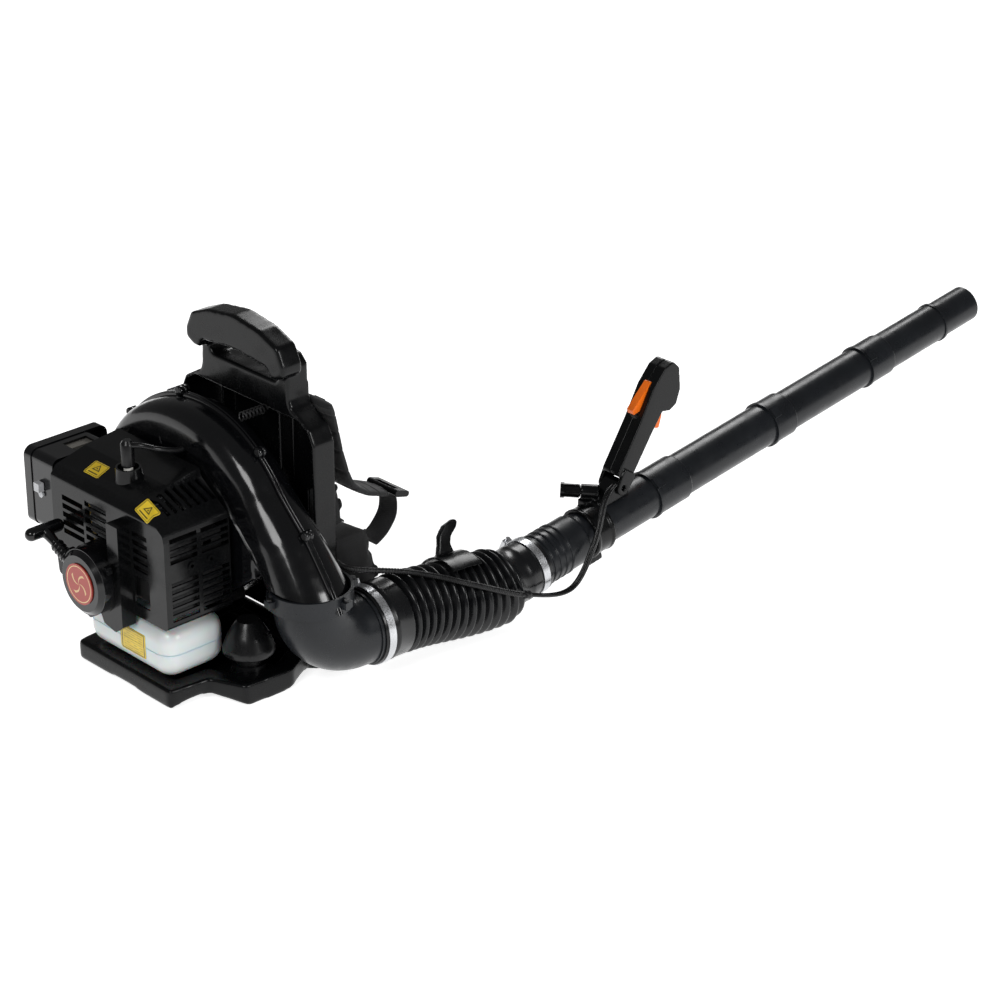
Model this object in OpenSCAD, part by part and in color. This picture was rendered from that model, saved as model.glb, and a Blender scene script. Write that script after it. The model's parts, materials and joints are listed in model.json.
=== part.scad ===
// Backpack leaf blower: two-stroke engine, volute fan, swivelling blow tube and harness frame.
// +X is the wearer's right, +Y the way the wearer faces, +Z up.
// The origin is on the ground, at the middle of the back frame's rear rim plane (y = 0 is the front of the plate).

/* [Back frame] */
// Width of the plate across the rims
frame_w = 288; // [284:1:292]
// Height of the carrying handle's top
frame_h = 504; // [500:1:508]
// Depth of the rim
frame_depth = 38; // [34:1:38]
// Width of the neck under the handle
neck_w = 188; // [180:1:196]
// Wall thickness of the plate
frame_wall = 5; // [4:0.5:6]

/* [Base] */
// Height of the base moulding
base_h = 33; // [30:1:33]
// Width of the moulding around the open middle
base_rail = 30; // [26:1:32]
// Height of the web between the rails
deck_h = 18; // [14:1:19]

/* [Engine] */
// Distance of the crankshaft left of the frame's middle
engine_x = -50; // [-50:1:-50]
// Height of the crankshaft
engine_z = 160; // [160:1:160]
// Distance of the cylinder behind the plate
cylinder_y = -205; // [-205:1:-205]
// Cylinder bore
bore_d = 48; // [44:1:48]
// Piston stroke
stroke = 32; // [28:1:32]
// Number of cooling fins
fin_count = 9; // [7:1:9]
// Running clearance of shafts in their bores
run_gap = 0.05; // [0.02:0.01:0.09]

/* [Engine cover] */
// Wall thickness of the cover
cover_wall = 3; // [2.5:0.5:3]
// Rows of slots in the starter face
starter_rows = 6; // [4:1:6]
// Number of vents in the slanted shoulder
shoulder_vents = 7; // [5:1:8]

/* [Fan] */
// Radius of the scroll at its tongue
scroll_r0 = 115; // [114:1:118]
// Growth of the scroll from tongue to outlet
scroll_growth = 106; // [100:1:108]
// Wall thickness of the scroll
scroll_wall = 3; // [2.5:0.5:3.5]
// Impeller radius
impeller_r = 104; // [96:1:106]
// Number of impeller blades
blade_count = 14; // [9:1:18]
// Outlet pipe radius
outlet_r = 56; // [54:0.5:56]

/* [Hose and tubes] */
// Radius of the bellows crests
bellows_r = 58; // [56:0.5:58]
// Radius of the bellows roots
bellows_root_r = 49; // [47:0.5:50]
// Number of pleats
pleat_count = 14; // [12:1:15]
// Outer radius of the control tube
control_r = 34; // [34:0.5:34]
// Outer radius of the middle tube
middle_r = 33; // [33:0.5:33]
// Outer radius of the extension tube
extension_r = 31.5; // [31:0.5:32]
// Outer radius of the nozzle tube
nozzle_r = 30.5; // [30:0.5:31]
// Outer radius of the nozzle's mouth
mouth_r = 29; // [28.5:0.5:29.5]
// Wall thickness of the tubes
tube_wall = 2; // [1.5:0.5:2]
// Upward slope of the tubes
tube_pitch = 7.9; // [7.9:0.1:7.9]

/* [Control handle] */
// Forward lean of the grip
grip_lean = 34; // [34:1:34]
// Thickness of the grip from side to side
grip_w = 34; // [30:1:36]

/* [Hidden] */

$fn = 64;
eps = 0.01;

black = [0.10, 0.10, 0.11];
gloss_black = [0.06, 0.06, 0.07];
tube_grey = [0.20, 0.21, 0.23];
steel = [0.75, 0.76, 0.78];
alloy = [0.62, 0.63, 0.65];
orange = [0.95, 0.33, 0.05];
badge_red = [0.78, 0.24, 0.18];
tank_white = [0.88, 0.91, 0.90];
label_yellow = [0.93, 0.82, 0.12];

// ---------- helpers ----------

// Catmull-Rom curve through the control points, with n steps per span
function curve_point(a, b, c, d, t) =
    0.5 * ((2 * b) + (c - a) * t + (2 * a - 5 * b + 4 * c - d) * t * t
    + (3 * b - a - 3 * c + d) * t * t * t);
function curve(p, n) = [
    for (i = [0 : len(p) - 2])
        for (k = [0 : n - 1])
            curve_point(p[max(i - 1, 0)], p[i], p[i + 1], p[min(i + 2, len(p) - 1)], k / n),
    p[len(p) - 1]];

function unit(v) = v / norm(v);
function tangent(p, i) = unit(p[min(i + 1, len(p) - 1)] - p[max(i - 1, 0)]);

// Flexible round line of radius r along the points of path
module round_line(path, r, sides = 8, ref = [0, 0, 1]) {
    n = len(path);
    points = [
        for (i = [0 : n - 1])
            let (t = tangent(path, i), u = unit(cross(ref, t)), v = cross(t, u))
                for (k = [0 : sides - 1])
                    path[i] + r * (cos(360 * k / sides) * u + sin(360 * k / sides) * v)];
    walls = [
        for (i = [0 : n - 2])
            for (k = [0 : sides - 1])
                let (a = i * sides + k, b = i * sides + (k + 1) % sides)
                    each [[a, a + sides, b + sides], [a, b + sides, b]]];
    start_cap = [for (k = [0 : sides - 1]) k];
    end_cap = [for (k = [sides - 1 : -1 : 0]) (n - 1) * sides + k];
    polyhedron(points, concat(walls, [start_cap, end_cap]), convexity = 8);
}

// Helical spring along +Z
module coil(radius, wire_r, turns, length, per_turn = 12, sides = 6) {
    steps = turns * per_turn;
    path = [for (i = [0 : steps])
        [radius * cos(360 * i / per_turn), radius * sin(360 * i / per_turn), length * i / steps]];
    round_line(path, wire_r, sides);
}

// Children's +Z turned to point along d from p
module aim(p, d) {
    u = unit(d);
    translate(p) rotate([0, acos(u[2]), atan2(u[1], u[0])]) children();
}

// Child drawn in X and Z, extruded from y0 to y1
module slab_y(y0, y1) {
    translate([0, y1, 0]) rotate([90, 0, 0]) linear_extrude(y1 - y0) children();
}

// Child drawn in Y and Z, extruded from x0 to x1
module slab_x(x0, x1) {
    translate([x0, 0, 0]) rotate([90, 0, 90]) linear_extrude(x1 - x0) children();
}

module rod_y(x, z, y0, y1, r) {
    translate([x, y0, z]) rotate([-90, 0, 0]) cylinder(h = y1 - y0, r = r);
}

module rod_x(y, z, x0, x1, r) {
    translate([x0, y, z]) rotate([0, 90, 0]) cylinder(h = x1 - x0, r = r);
}

module block(lo, hi) {
    translate(lo) cube(hi - lo);
}

module rounded(r) {
    offset(r = r) offset(delta = -r) children();
}

module mirrored_x() {
    children();
    mirror([1, 0, 0]) children();
}

module ring(r_out, r_in, h) {
    difference() {
        cylinder(h = h, r = r_out);
        translate([0, 0, -1]) cylinder(h = h + 2, r = r_in);
    }
}

// ---------- back frame ----------

shoulder_z = 360;
neck_z = 390;
handle_r = 105;
handle_low = 450;
hand_hole_z = 434;
hand_hole_r = 13;
hand_hole_x = 62;
plate_low = base_h + 1;
foot_gap = 128;
tab_x = 110;
tab_z = 60;

module frame_outline() {
    half = [[frame_w / 2, plate_low], [frame_w / 2, shoulder_z - 12], [frame_w / 2 - 10, shoulder_z + 9],
        [neck_w / 2 + 4, neck_z], [neck_w / 2, neck_z + 12], [neck_w / 2 - 1, 446], [neck_w / 2 - 12, 458],
        [44, 468], [0, 472]];
    left = [for (i = [len(half) - 2 : -1 : 0]) [-half[i][0], half[i][1]]];
    rounded(9) polygon(concat(half, left));
}

module handle_outline() {
    half = [[neck_w / 2 - 4, handle_low - 16], [handle_r, handle_low - 8], [handle_r, handle_low + 6],
        [handle_r - 12, frame_h - 23], [56, frame_h - 8], [0, frame_h]];
    left = [for (i = [len(half) - 2 : -1 : 0]) [-half[i][0], half[i][1]]];
    rounded(7) polygon(concat(half, left));
}

module hand_hole() {
    hull() {
        for (s = [-1, 1]) translate([s * hand_hole_x, hand_hole_z]) circle(r = hand_hole_r);
        translate([0, hand_hole_z + 6]) circle(r = hand_hole_r);
    }
}

module pocket_outline() {
    intersection() {
        offset(delta = -frame_wall) frame_outline();
        translate([-frame_w, plate_low]) square([2 * frame_w, shoulder_z + 16 - plate_low]);
    }
}

module back_frame() {
    rib_x = 62;
    rib_w = 4;
    vent_w = 20;
    vent_h = 60;
    color(black) difference() {
        union() {
            difference() {
                slab_y(-frame_depth, 0) frame_outline();
                slab_y(-frame_depth - 1, -frame_wall) pocket_outline();
                // the rim is open below, where the base's tabs come in
                block([-foot_gap, -frame_depth - 1, plate_low - 1], [foot_gap, -frame_wall, plate_low + 12]);
            }
            slab_y(-frame_depth - 17, -20) handle_outline();
            for (x = [-rib_x, rib_x])
                block([x - rib_w / 2, -frame_depth + 8, plate_low], [x + rib_w / 2, -1, shoulder_z + 12]);
        }
        slab_y(-frame_depth - 20, 1) hand_hole();
        for (x = [-100, 0, 100])
            slab_y(-frame_wall - 1, 1) rounded(6) translate([x - vent_w / 2, 200]) square([vent_w, vent_h]);
        for (x = [-tab_x, tab_x])
            rod_y(x, tab_z, -frame_wall - 1, 1, 3.2);
        // way for the elbow and the fan's outlet past the right-hand edge
        translate([outlet_x, fan_y_mid, 40]) cylinder(h = 140, r = outlet_r + 6);
        aim(elbow_at(20), elbow_dir) cylinder(h = 120, r = outlet_r + 6);
        block([138, -frame_depth - 1, 170], [150, -34, 218]);
    }
}

// ---------- base ----------

module base_outline() {
    rounded(7) polygon([[90, -259], [97, -196], [149, -173], [154, -93], [128, -44], [146, -10], [146, 0],
        [-146, 0], [-146, -10], [-128, -44], [-154, -93], [-149, -173], [-128, -200], [-121, -259]]);
}

module base_foot() {
    color(black) difference() {
        union() {
            difference() {
                linear_extrude(base_h) base_outline();
                translate([0, 0, deck_h]) linear_extrude(base_h) offset(delta = -base_rail) base_outline();
                translate([0, 0, -1]) linear_extrude(deck_h - 5) offset(delta = -base_rail) base_outline();
                // arches between the feet
                slab_x(-200, 200) translate([-215, -112]) circle(r = 122, $fn = 96);
                slab_x(-200, 200) translate([-70, -94]) circle(r = 100, $fn = 96);
                slab_y(-300, -236) translate([-15, -292]) circle(r = 298, $fn = 120);
            }
            for (x = [-tab_x, tab_x])
                block([x - 12, -16, base_h - 1], [x + 12, -frame_wall - 0.5, base_h + 42]);
            translate([pedestal_right[0], pedestal_right[1], deck_h - 3]) cylinder(h = base_h - deck_h + 3, r = 27);
            translate([pedestal_left[0], pedestal_left[1], deck_h - 3]) cylinder(h = base_h - deck_h + 3, r = 16);
        }
        for (x = [-tab_x, tab_x])
            rod_y(x, tab_z, -17, -1, 2.5);
        translate([pedestal_right[0], pedestal_right[1], -1]) cylinder(h = base_h + 2, r = 4.2);
        translate([pedestal_left[0], pedestal_left[1], -1]) cylinder(h = base_h + 2, r = 4.2);
        // hollow under the fan case
        slab_y(fan_y_rear - 4, fan_y_front + 4) offset(delta = 8) scroll_outline();
    }
}

module frame_bolts() {
    color(steel) for (x = [-tab_x, tab_x]) {
        rod_y(x, tab_z, -14, 0.5, 2.4);
        rod_y(x, tab_z, 0.2, 3, 5);
    }
}

// ---------- harness ----------

// Side views of the two cushions: first coordinate forward, second up
module back_pad_view() {
    rounded(4) polygon([[4, 194], [41, 194], [33, 250], [18, 308], [11, 346], [11, 362], [4, 366]]);
}

module lumbar_pad_view() {
    rounded(6) polygon([[4, 58], [70, 60], [88, 84], [92, 112], [79, 172], [68, 188], [4, 188]]);
}

module back_pad() {
    color(black) slab_x(-122, 122) back_pad_view();
}

module lumbar_pad() {
    color(black) slab_x(-128, 128) lumbar_pad_view();
}

// Side view of a padded shoulder strap: it lies on the cushion and swings out at its lower end
strap_path = [[8, 392], [13, 378], [20, 346], [29, 306], [45, 262], [70, 240], [95, 229], [115, 221]];
strap_thick = 11;
strap_in = 68;
strap_out = 130;

module strap_profile() {
    line = curve(strap_path, 6);
    for (i = [0 : len(line) - 2])
        hull() {
            translate(line[i]) circle(d = strap_thick, $fn = 24);
            translate(line[i + 1]) circle(d = strap_thick, $fn = 24);
        }
}

module shoulder_strap_right() {
    color(black) slab_x(strap_in, strap_out) strap_profile();
}

module shoulder_strap_left() {
    color(black) mirror([1, 0, 0]) slab_x(strap_in, strap_out) strap_profile();
}

web_path = [[132, 214], [135, 198], [132, 178], [117, 159], [101, 149], [95, 147]];
web_thick = 3;
web_w = 40;

module web_profile() {
    line = curve(web_path, 6);
    for (i = [0 : len(line) - 2])
        hull() {
            translate(line[i]) circle(d = web_thick, $fn = 16);
            translate(line[i + 1]) circle(d = web_thick, $fn = 16);
        }
}

module web_solid() {
    mid = (strap_in + strap_out) / 2;
    slab_x(mid - web_w / 2, mid + web_w / 2) web_profile();
}

module webbing_right() {
    color(black) web_solid();
}

module webbing_left() {
    color(black) mirror([1, 0, 0]) web_solid();
}

// Ladder-lock buckle that joins a strap's lower end to its webbing
module ladder_buckle() {
    mid = (strap_in + strap_out) / 2;
    difference() {
        slab_x(mid - 31, mid + 31) hull() {
            translate([127, 220]) circle(d = 10);
            translate([143, 215]) circle(d = 9);
        }
        slab_x(mid - web_w / 2 - 1, mid + web_w / 2 + 1) translate([127.5, 200]) square([9, 40]);
    }
}

module strap_buckles() {
    color(black) mirrored_x() ladder_buckle();
}

// ---------- vibration isolation ----------

// Each spring: across, height and length
springs = [[47, 376, 44], [-128, 352, 33]];
pedestal_right = [104, -130];
pedestal_left = [-131, -166];

module isolation_springs() {
    color(steel) for (s = springs)
        translate([s[0], -frame_depth - 2 - s[2], s[1]]) rotate([-90, 0, 0])
            coil(6, 1.2, 7, s[2], 10, 5);
}

module pedestal(p, h, r) {
    translate([p[0], p[1], base_h]) {
        cylinder(h = 6, r = r + 5);
        cylinder(h = h, r = r);
    }
    translate([p[0], p[1], 14]) cylinder(h = base_h - 14 + eps, r = 4);
}

module mount_pedestals() {
    color(black) {
        pedestal(pedestal_right, 20.5, 19);
        pedestal(pedestal_left, 20.5, 9);
    }
}

module mount_cup(p, r, h) {
    translate([p[0], p[1], base_h + 21])
        rotate_extrude() polygon([[0, 0], [r - 2, 0], [r, 3], [r, 9], [r * 0.8, h * 0.55], [r * 0.5, h - 4],
            [r * 0.42, h], [0, h]]);
}

module mount_cups() {
    color(gloss_black) {
        mount_cup(pedestal_right, 37, 50);
        mount_cup(pedestal_left, 15, 34);
    }
}

// ---------- fan case ----------

fan_y_rear = -130;
fan_y_mid = -85;
fan_y_front = -50;
outlet_x = 186;
outlet_z = 158;
tongue_angle = 300;
outlet_angle = 30;

function scroll_r(a) =
    scroll_r0 + scroll_growth * sin(90 * (tongue_angle - a) / (tongue_angle - outlet_angle));

// Radius of the rim: the scroll, then the sweep that runs down into the outlet
function rim_r(a) = a >= outlet_angle ? scroll_r(a)
    : lookup(a, [[0, 290], [9, 263], [17, 247], [24, 236], [outlet_angle, scroll_r(outlet_angle)]]);
function scroll_share(a) = a >= outlet_angle ? (tongue_angle - a) / (tongue_angle - outlet_angle) : 1;

function scroll_points(inset, step) = [
    for (a = concat([for (k = [tongue_angle : -6 : outlet_angle]) k], [24, 17, 9]))
        let (r = rim_r(a) - step * (0.1 + 0.9 * scroll_share(a)) - inset)
            [engine_x + r * cos(a), engine_z + r * sin(a)]];

// Outline of the scroll: inset by the wall, and stepped in towards the case's faces
module scroll_outline(inset = 0, step = 0) {
    throat_x = outlet_x - 24;
    polygon(concat(scroll_points(inset, step), [
        [throat_x + 12 - inset, outlet_z + 22 + inset],
        [throat_x - 30, outlet_z + 17.3 + inset]]));
}

// Screw lugs around the flange
lug_angles = [20, 52, 98, 135, 172, 205, 222];
function lug_at(a) = [engine_x + (rim_r(a) + 8) * cos(a), engine_z + (rim_r(a) + 8) * sin(a)];

// Steps of a shell from the joint outwards: share of its depth, and how far the rim steps in
shell_steps = [[0.3, 5], [0.65, 20], [1, 36]];

// Round horn that grows along the scroll's rim and turns down into the outlet
horn_stations = [[78, 24], [60, 29], [45, 34], [30, 40], [17, 46], [8, 51], [0, 55.5]];
module horn(inset, y0, y1) {
    intersection() {
        union() {
            for (i = [0 : len(horn_stations) - 2])
                hull() {
                    horn_disc(horn_stations[i], inset);
                    horn_disc(horn_stations[i + 1], inset);
                }
            translate([outlet_x, fan_y_mid, outlet_z - inset]) cylinder(h = 8 + inset, r = outlet_r - inset);
        }
        block([-300, y0, 0], [400, y1, 600]);
    }
}

// One disc of the horn: its angle around the crankshaft and its radius
module horn_disc(station, inset) {
    a = station[0];
    r = station[1] * outlet_r / 56;
    reach = a > 0 ? rim_r(a) - r - 1.6 : outlet_x - engine_x;
    translate([engine_x + reach * cos(a), fan_y_mid, engine_z + reach * sin(a)])
        rotate([0, -a, 0]) cylinder(h = 0.6, r = r - inset, $fn = 30, center = true);
}

// Half of the fan case between its joint and its outer wall
module fan_shell(y_wall, y_joint) {
    way = y_wall > y_joint ? 1 : -1;
    depth = abs(y_wall - y_joint);
    last = depth - scroll_wall;
    difference() {
        union() {
            for (i = [0 : len(shell_steps) - 1])
                slab_between(y_joint - way, y_joint + way * depth * shell_steps[i][0])
                    scroll_outline(0, shell_steps[i][1]);
            slab_between(y_joint - way, y_joint + way * 4) intersection() {
                union() {
                    offset(delta = 5) scroll_outline();
                    for (a = lug_angles) translate(lug_at(a)) circle(r = 7, $fn = 24);
                }
                translate([-400, 24]) square([1000, 600]);
            }
            horn_half(0, y_joint - way, way);
        }
        for (i = [0 : len(shell_steps) - 1])
            slab_between(y_joint - way * 2, y_joint + way * min(last, depth * shell_steps[i][0] - scroll_wall))
                scroll_outline(scroll_wall, shell_steps[i][1]);
        horn_half(scroll_wall, y_joint - way * 2, way);
        for (a = lug_angles)
            rod_y(lug_at(a)[0], lug_at(a)[1], fan_y_mid - 5, fan_y_mid + 5, 2.6);
        // trims the half to the plane of the joint
        slab_between(y_joint, y_joint - way * 3) translate([-500, -100]) square([1200, 900]);
    }
}

module slab_between(a, b) {
    slab_y(min(a, b), max(a, b)) children();
}

module horn_half(inset, y_joint, way) {
    horn(inset, way > 0 ? y_joint : -200, way > 0 ? 0 : y_joint);
}

module fan_case_rear() {
    color(gloss_black) difference() {
        fan_shell(fan_y_rear, fan_y_mid);
        rod_y(engine_x, engine_z, fan_y_rear - 1, fan_y_rear + scroll_wall + 1, 14);
    }
}

intake_r = 78;

module fan_case_front() {
    color(gloss_black) difference() {
        fan_shell(fan_y_front, fan_y_mid);
        rod_y(engine_x, engine_z, fan_y_front - scroll_wall - 1, fan_y_front + 1, intake_r);
    }
}

module case_screws() {
    color(steel) for (a = lug_angles) {
        rod_y(lug_at(a)[0], lug_at(a)[1], fan_y_mid - 6, fan_y_mid + 8, 2.5);
        rod_y(lug_at(a)[0], lug_at(a)[1], fan_y_mid - 8, fan_y_mid - 4.1, 4.5);
    }
}

module intake_guard() {
    color(black) rod_y_group(engine_x, engine_z, fan_y_front - scroll_wall - 0.5) {
        ring(intake_r - 0.5, intake_r - 6, 5);
        for (r = [14 : 14 : 60]) ring(r + 1.5, r - 1.5, 4);
        for (a = [0 : 30 : 150]) rotate(a) translate([-intake_r + 3, -1.5, 0]) cube([2 * intake_r - 6, 3, 4]);
    }
}

module rod_y_group(x, z, y) {
    translate([x, y, z]) rotate([-90, 0, 0]) children();
}

module impeller() {
    y0 = fan_y_rear + scroll_wall + 4;
    hub_r = 22;
    depth = 58;
    color(alloy) rod_y_group(engine_x, engine_z, y0) difference() {
        union() {
            cylinder(h = 3, r = impeller_r);
            cylinder(h = depth - 14, r = hub_r);
            for (k = [0 : blade_count - 1])
                rotate(360 * k / blade_count) intersection() {
                    translate([60, 40, 0]) ring(62, 59.5, depth);
                    translate([hub_r + 6, -60, 0]) cube([impeller_r - hub_r - 8, 80, depth]);
                }
        }
        translate([0, 0, -1]) cylinder(h = depth, r = 7);
    }
}

// ---------- engine ----------

crank_z = engine_z;
case_y0 = cylinder_y - 38;
case_y1 = cylinder_y + 38;
crankcase_r = 46;
journal_r = 8;
web_disc_r = 31;
bore_low = engine_z + crankcase_r - 3;
deck_z = engine_z + stroke / 2 + 100;
exhaust_z = deck_z - 50;

module crankcase() {
    color(alloy) difference() {
        union() {
            rod_y(engine_x, crank_z, case_y0, case_y1, crankcase_r);
            block([engine_x - 36, cylinder_y - 32, crank_z], [engine_x + 36, cylinder_y + 32, bore_low]);
        }
        rod_y(engine_x, crank_z, case_y0 + 14, case_y1 - 14, web_disc_r + 4);
        rod_y(engine_x, crank_z, case_y0 - 1, case_y1 + 1, journal_r + run_gap);
        translate([engine_x, cylinder_y, crank_z]) cylinder(h = 60, r = bore_d / 2 + 1);
        block([engine_x - 60, case_y0 - 1, bore_low + 0.1], [engine_x + 60, case_y1 + 1, bore_low + 20]);
    }
}

module crankshaft() {
    color(steel) difference() {
        union() {
            rod_y(engine_x, crank_z, -262, cylinder_y - 9, journal_r);
            rod_y(engine_x, crank_z, cylinder_y + 9, fan_y_front - 14, journal_r);
            for (s = [-1, 1])
                rod_y(engine_x, crank_z, cylinder_y + s * 15 - 6, cylinder_y + s * 15 + 6, web_disc_r);
            rod_y(engine_x, crank_z + stroke / 2, cylinder_y - 12, cylinder_y + 12, 8);
            rod_y(engine_x, crank_z, -262, -254, 18);
        }
        // the fan end steps down to the impeller's bore
        rod_y_group(engine_x, crank_z, fan_y_rear + scroll_wall + 3.5) ring(20, 7 - eps, 80);
    }
}

module flywheel() {
    y0 = case_y1 + 6;
    depth = 16;
    wheel_r = 44;
    color(alloy) rod_y_group(engine_x, crank_z, y0) difference() {
        union() {
            cylinder(h = 5, r = wheel_r);
            cylinder(h = depth, r = 20);
            ring(wheel_r, wheel_r - 7, depth);
            for (a = [0 : 30 : 330]) rotate(a) translate([18, -1.2, 0]) cube([wheel_r - 22, 2.4, depth - 4]);
        }
        translate([0, 0, -1]) cylinder(h = depth + 2, r = journal_r + run_gap);
    }
}

module ignition_coil() {
    y0 = case_y1 + 7;
    color(gloss_black) difference() {
        union() {
            block([engine_x - 62, y0, crank_z + 38], [engine_x - 44, y0 + 14, crank_z + 78]);
            block([engine_x - 72, y0 + 2, crank_z + 50], [engine_x - 40, y0 + 12, crank_z + 74]);
        }
        rod_y(engine_x, crank_z, y0 - 1, y0 + 20, 45);
    }
}

fin_size = 92;
fin_t = 2;

module engine_cylinder() {
    color(alloy) difference() {
        union() {
            translate([engine_x, cylinder_y, bore_low + 0.2]) cylinder(h = deck_z + 2.8 - bore_low, r = 31);
            translate([engine_x, cylinder_y, bore_low + 0.2]) cylinder(h = deck_z + 6.3 - bore_low, r = 24);
            for (i = [0 : fin_count - 1])
                translate([engine_x, cylinder_y - 4, bore_low + 6 + i * 7.5])
                    linear_extrude(fin_t) rounded(8) square([fin_size, fin_size - 22], center = true);
        }
        translate([engine_x, cylinder_y, bore_low - 1])
            cylinder(h = deck_z - bore_low + 1, r = bore_d / 2 + run_gap);
        translate([engine_x, cylinder_y, deck_z - 1]) cylinder(h = 40, r = 6.5);
        // intake and exhaust ports
        rod_x(cylinder_y, deck_z - 26, engine_x - 60, engine_x, 10.4);
        rod_x(cylinder_y, exhaust_z, engine_x, engine_x + 60, 12);
    }
}

module piston() {
    crown = deck_z - 2;
    color(alloy) difference() {
        translate([engine_x, cylinder_y, crown - 30]) cylinder(h = 30, r = bore_d / 2);
        translate([engine_x, cylinder_y, crown - 31]) cylinder(h = 27, r = bore_d / 2 - 3);
        rod_y(engine_x, crown - 16, cylinder_y - 30, cylinder_y + 30, 5);
        for (z = [crown - 4, crown - 8])
            translate([engine_x, cylinder_y, z]) ring(bore_d / 2 + 1, bore_d / 2 - 1, 1.2);
    }
}

module spark_plug() {
    color([0.93, 0.92, 0.88]) translate([engine_x, cylinder_y, deck_z + 1]) {
        cylinder(h = 6, r = 6.4);
        translate([0, 0, 6]) cylinder(h = 8, r = 9.2, $fn = 6);
        translate([0, 0, 14]) cylinder(h = 30, r = 6.5);
        translate([0, 0, 44]) cylinder(h = 14, r = 4);
    }
}

module plug_boot() {
    z0 = deck_z + 45.5;
    lead = curve([[engine_x + 5, cylinder_y + 2, z0 + 19], [engine_x + 20, cylinder_y + 10, z0 + 21],
        [engine_x + 32, cylinder_y + 26, z0 + 15], [engine_x + 36, cylinder_y + 52, z0 + 6],
        [engine_x + 36, cylinder_y + 66, z0 + 4]], 5);
    color(gloss_black) difference() {
        union() {
            translate([engine_x, cylinder_y, z0 - 12]) cylinder(h = 32, r = 9.5);
            translate([engine_x, cylinder_y, z0 + 20]) cylinder(h = 6, r1 = 9.5, r2 = 6);
            round_line(lead, 4, 10);
        }
        translate([engine_x, cylinder_y, z0 - 13]) cylinder(h = 13, r = 6.7);
        translate([engine_x, cylinder_y, z0 - 1]) cylinder(h = 16.5, r = 4.2);
    }
}

module muffler() {
    x0 = engine_x + 48;
    x1 = cover_x1 - cover_wall - 6;
    color(steel) difference() {
        slab_x(x0, x1) rounded(10) translate([-238, 132]) square([92, 112]);
        slab_x(x0 + 1.5, x1 - 1.5) rounded(8) translate([-236.5, 133.5]) square([89, 109]);
        rod_x(cylinder_y, exhaust_z, x0 - 1, x0 + 3, 12);
        rod_x(-170, 225, x1 - 3, x1 + 1, 7);
    }
}

// ---------- engine cover ----------

cover_x0 = -172;
cover_x1 = 82;
cover_y0 = -250;
cover_y1 = fan_y_rear - 2;
cover_z0 = 118;
cover_front_z = 278;
cover_back_z = 316;
cover_side_z = 262;
shoulder_x = 26;

module cover_front_view(inset = 0) {
    offset(delta = -inset) rounded(7) polygon([[cover_x0 + 6, cover_z0], [cover_x0, cover_z0 + 60],
        [cover_x0, 282], [cover_x0 + 8, 298], [cover_x0 + 20, 330], [shoulder_x - 14, 330],
        [shoulder_x, 296], [cover_x1 - 3, cover_side_z], [cover_x1, cover_side_z - 12], [cover_x1, cover_z0]]);
}

module cover_side_view(inset = 0) {
    offset(delta = -inset) rounded(9) polygon([[cover_y0, cover_z0 - 20], [cover_y0, cover_front_z - 8],
        [cover_y0 + 10, cover_front_z + 4], [cover_y0 + 55, cover_back_z - 16],
        [cover_y1 + 40, cover_back_z], [cover_y1 + 40, cover_z0 - 20]]);
}

module cover_form(inset = 0) {
    intersection() {
        slab_y(cover_y0 - 5, cover_y1) cover_front_view(inset);
        slab_x(cover_x0 - 5, cover_x1 + 5) cover_side_view(inset);
    }
}

// A row of level slots, centred on (u, v)
module slot_column(u0, u1, v0, pitch, rows, h) {
    for (i = [0 : rows - 1])
        translate([u0, v0 + i * pitch]) square([u1 - u0, h]);
}

module starter_face_slots() {
    slot_column(-148, -100, 188, 12.8, starter_rows - 1, 8);
    slot_column(-95, -46, 184, 12.8, starter_rows, 8);
    slot_column(11, 44, 190, 12.5, 5, 7);
    rounded(4) translate([11, 136]) square([34, 44]);
}

module muffler_face_slots() {
    for (side = [[-240, -194], [-187, -140]]) {
        slot_column(side[0], side[1], 216, 10.5, 4, 6.5);
        slot_column(side[0], side[1], 129, 10.5, 6, 6.5);
    }
}

module shoulder_vent_cut() {
    for (i = [0 : shoulder_vents - 1])
        translate([shoulder_x - 1, -230 + i * 13, 250]) rotate([0, 0, 12]) cube([34, 6.5, 60]);
}

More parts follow.
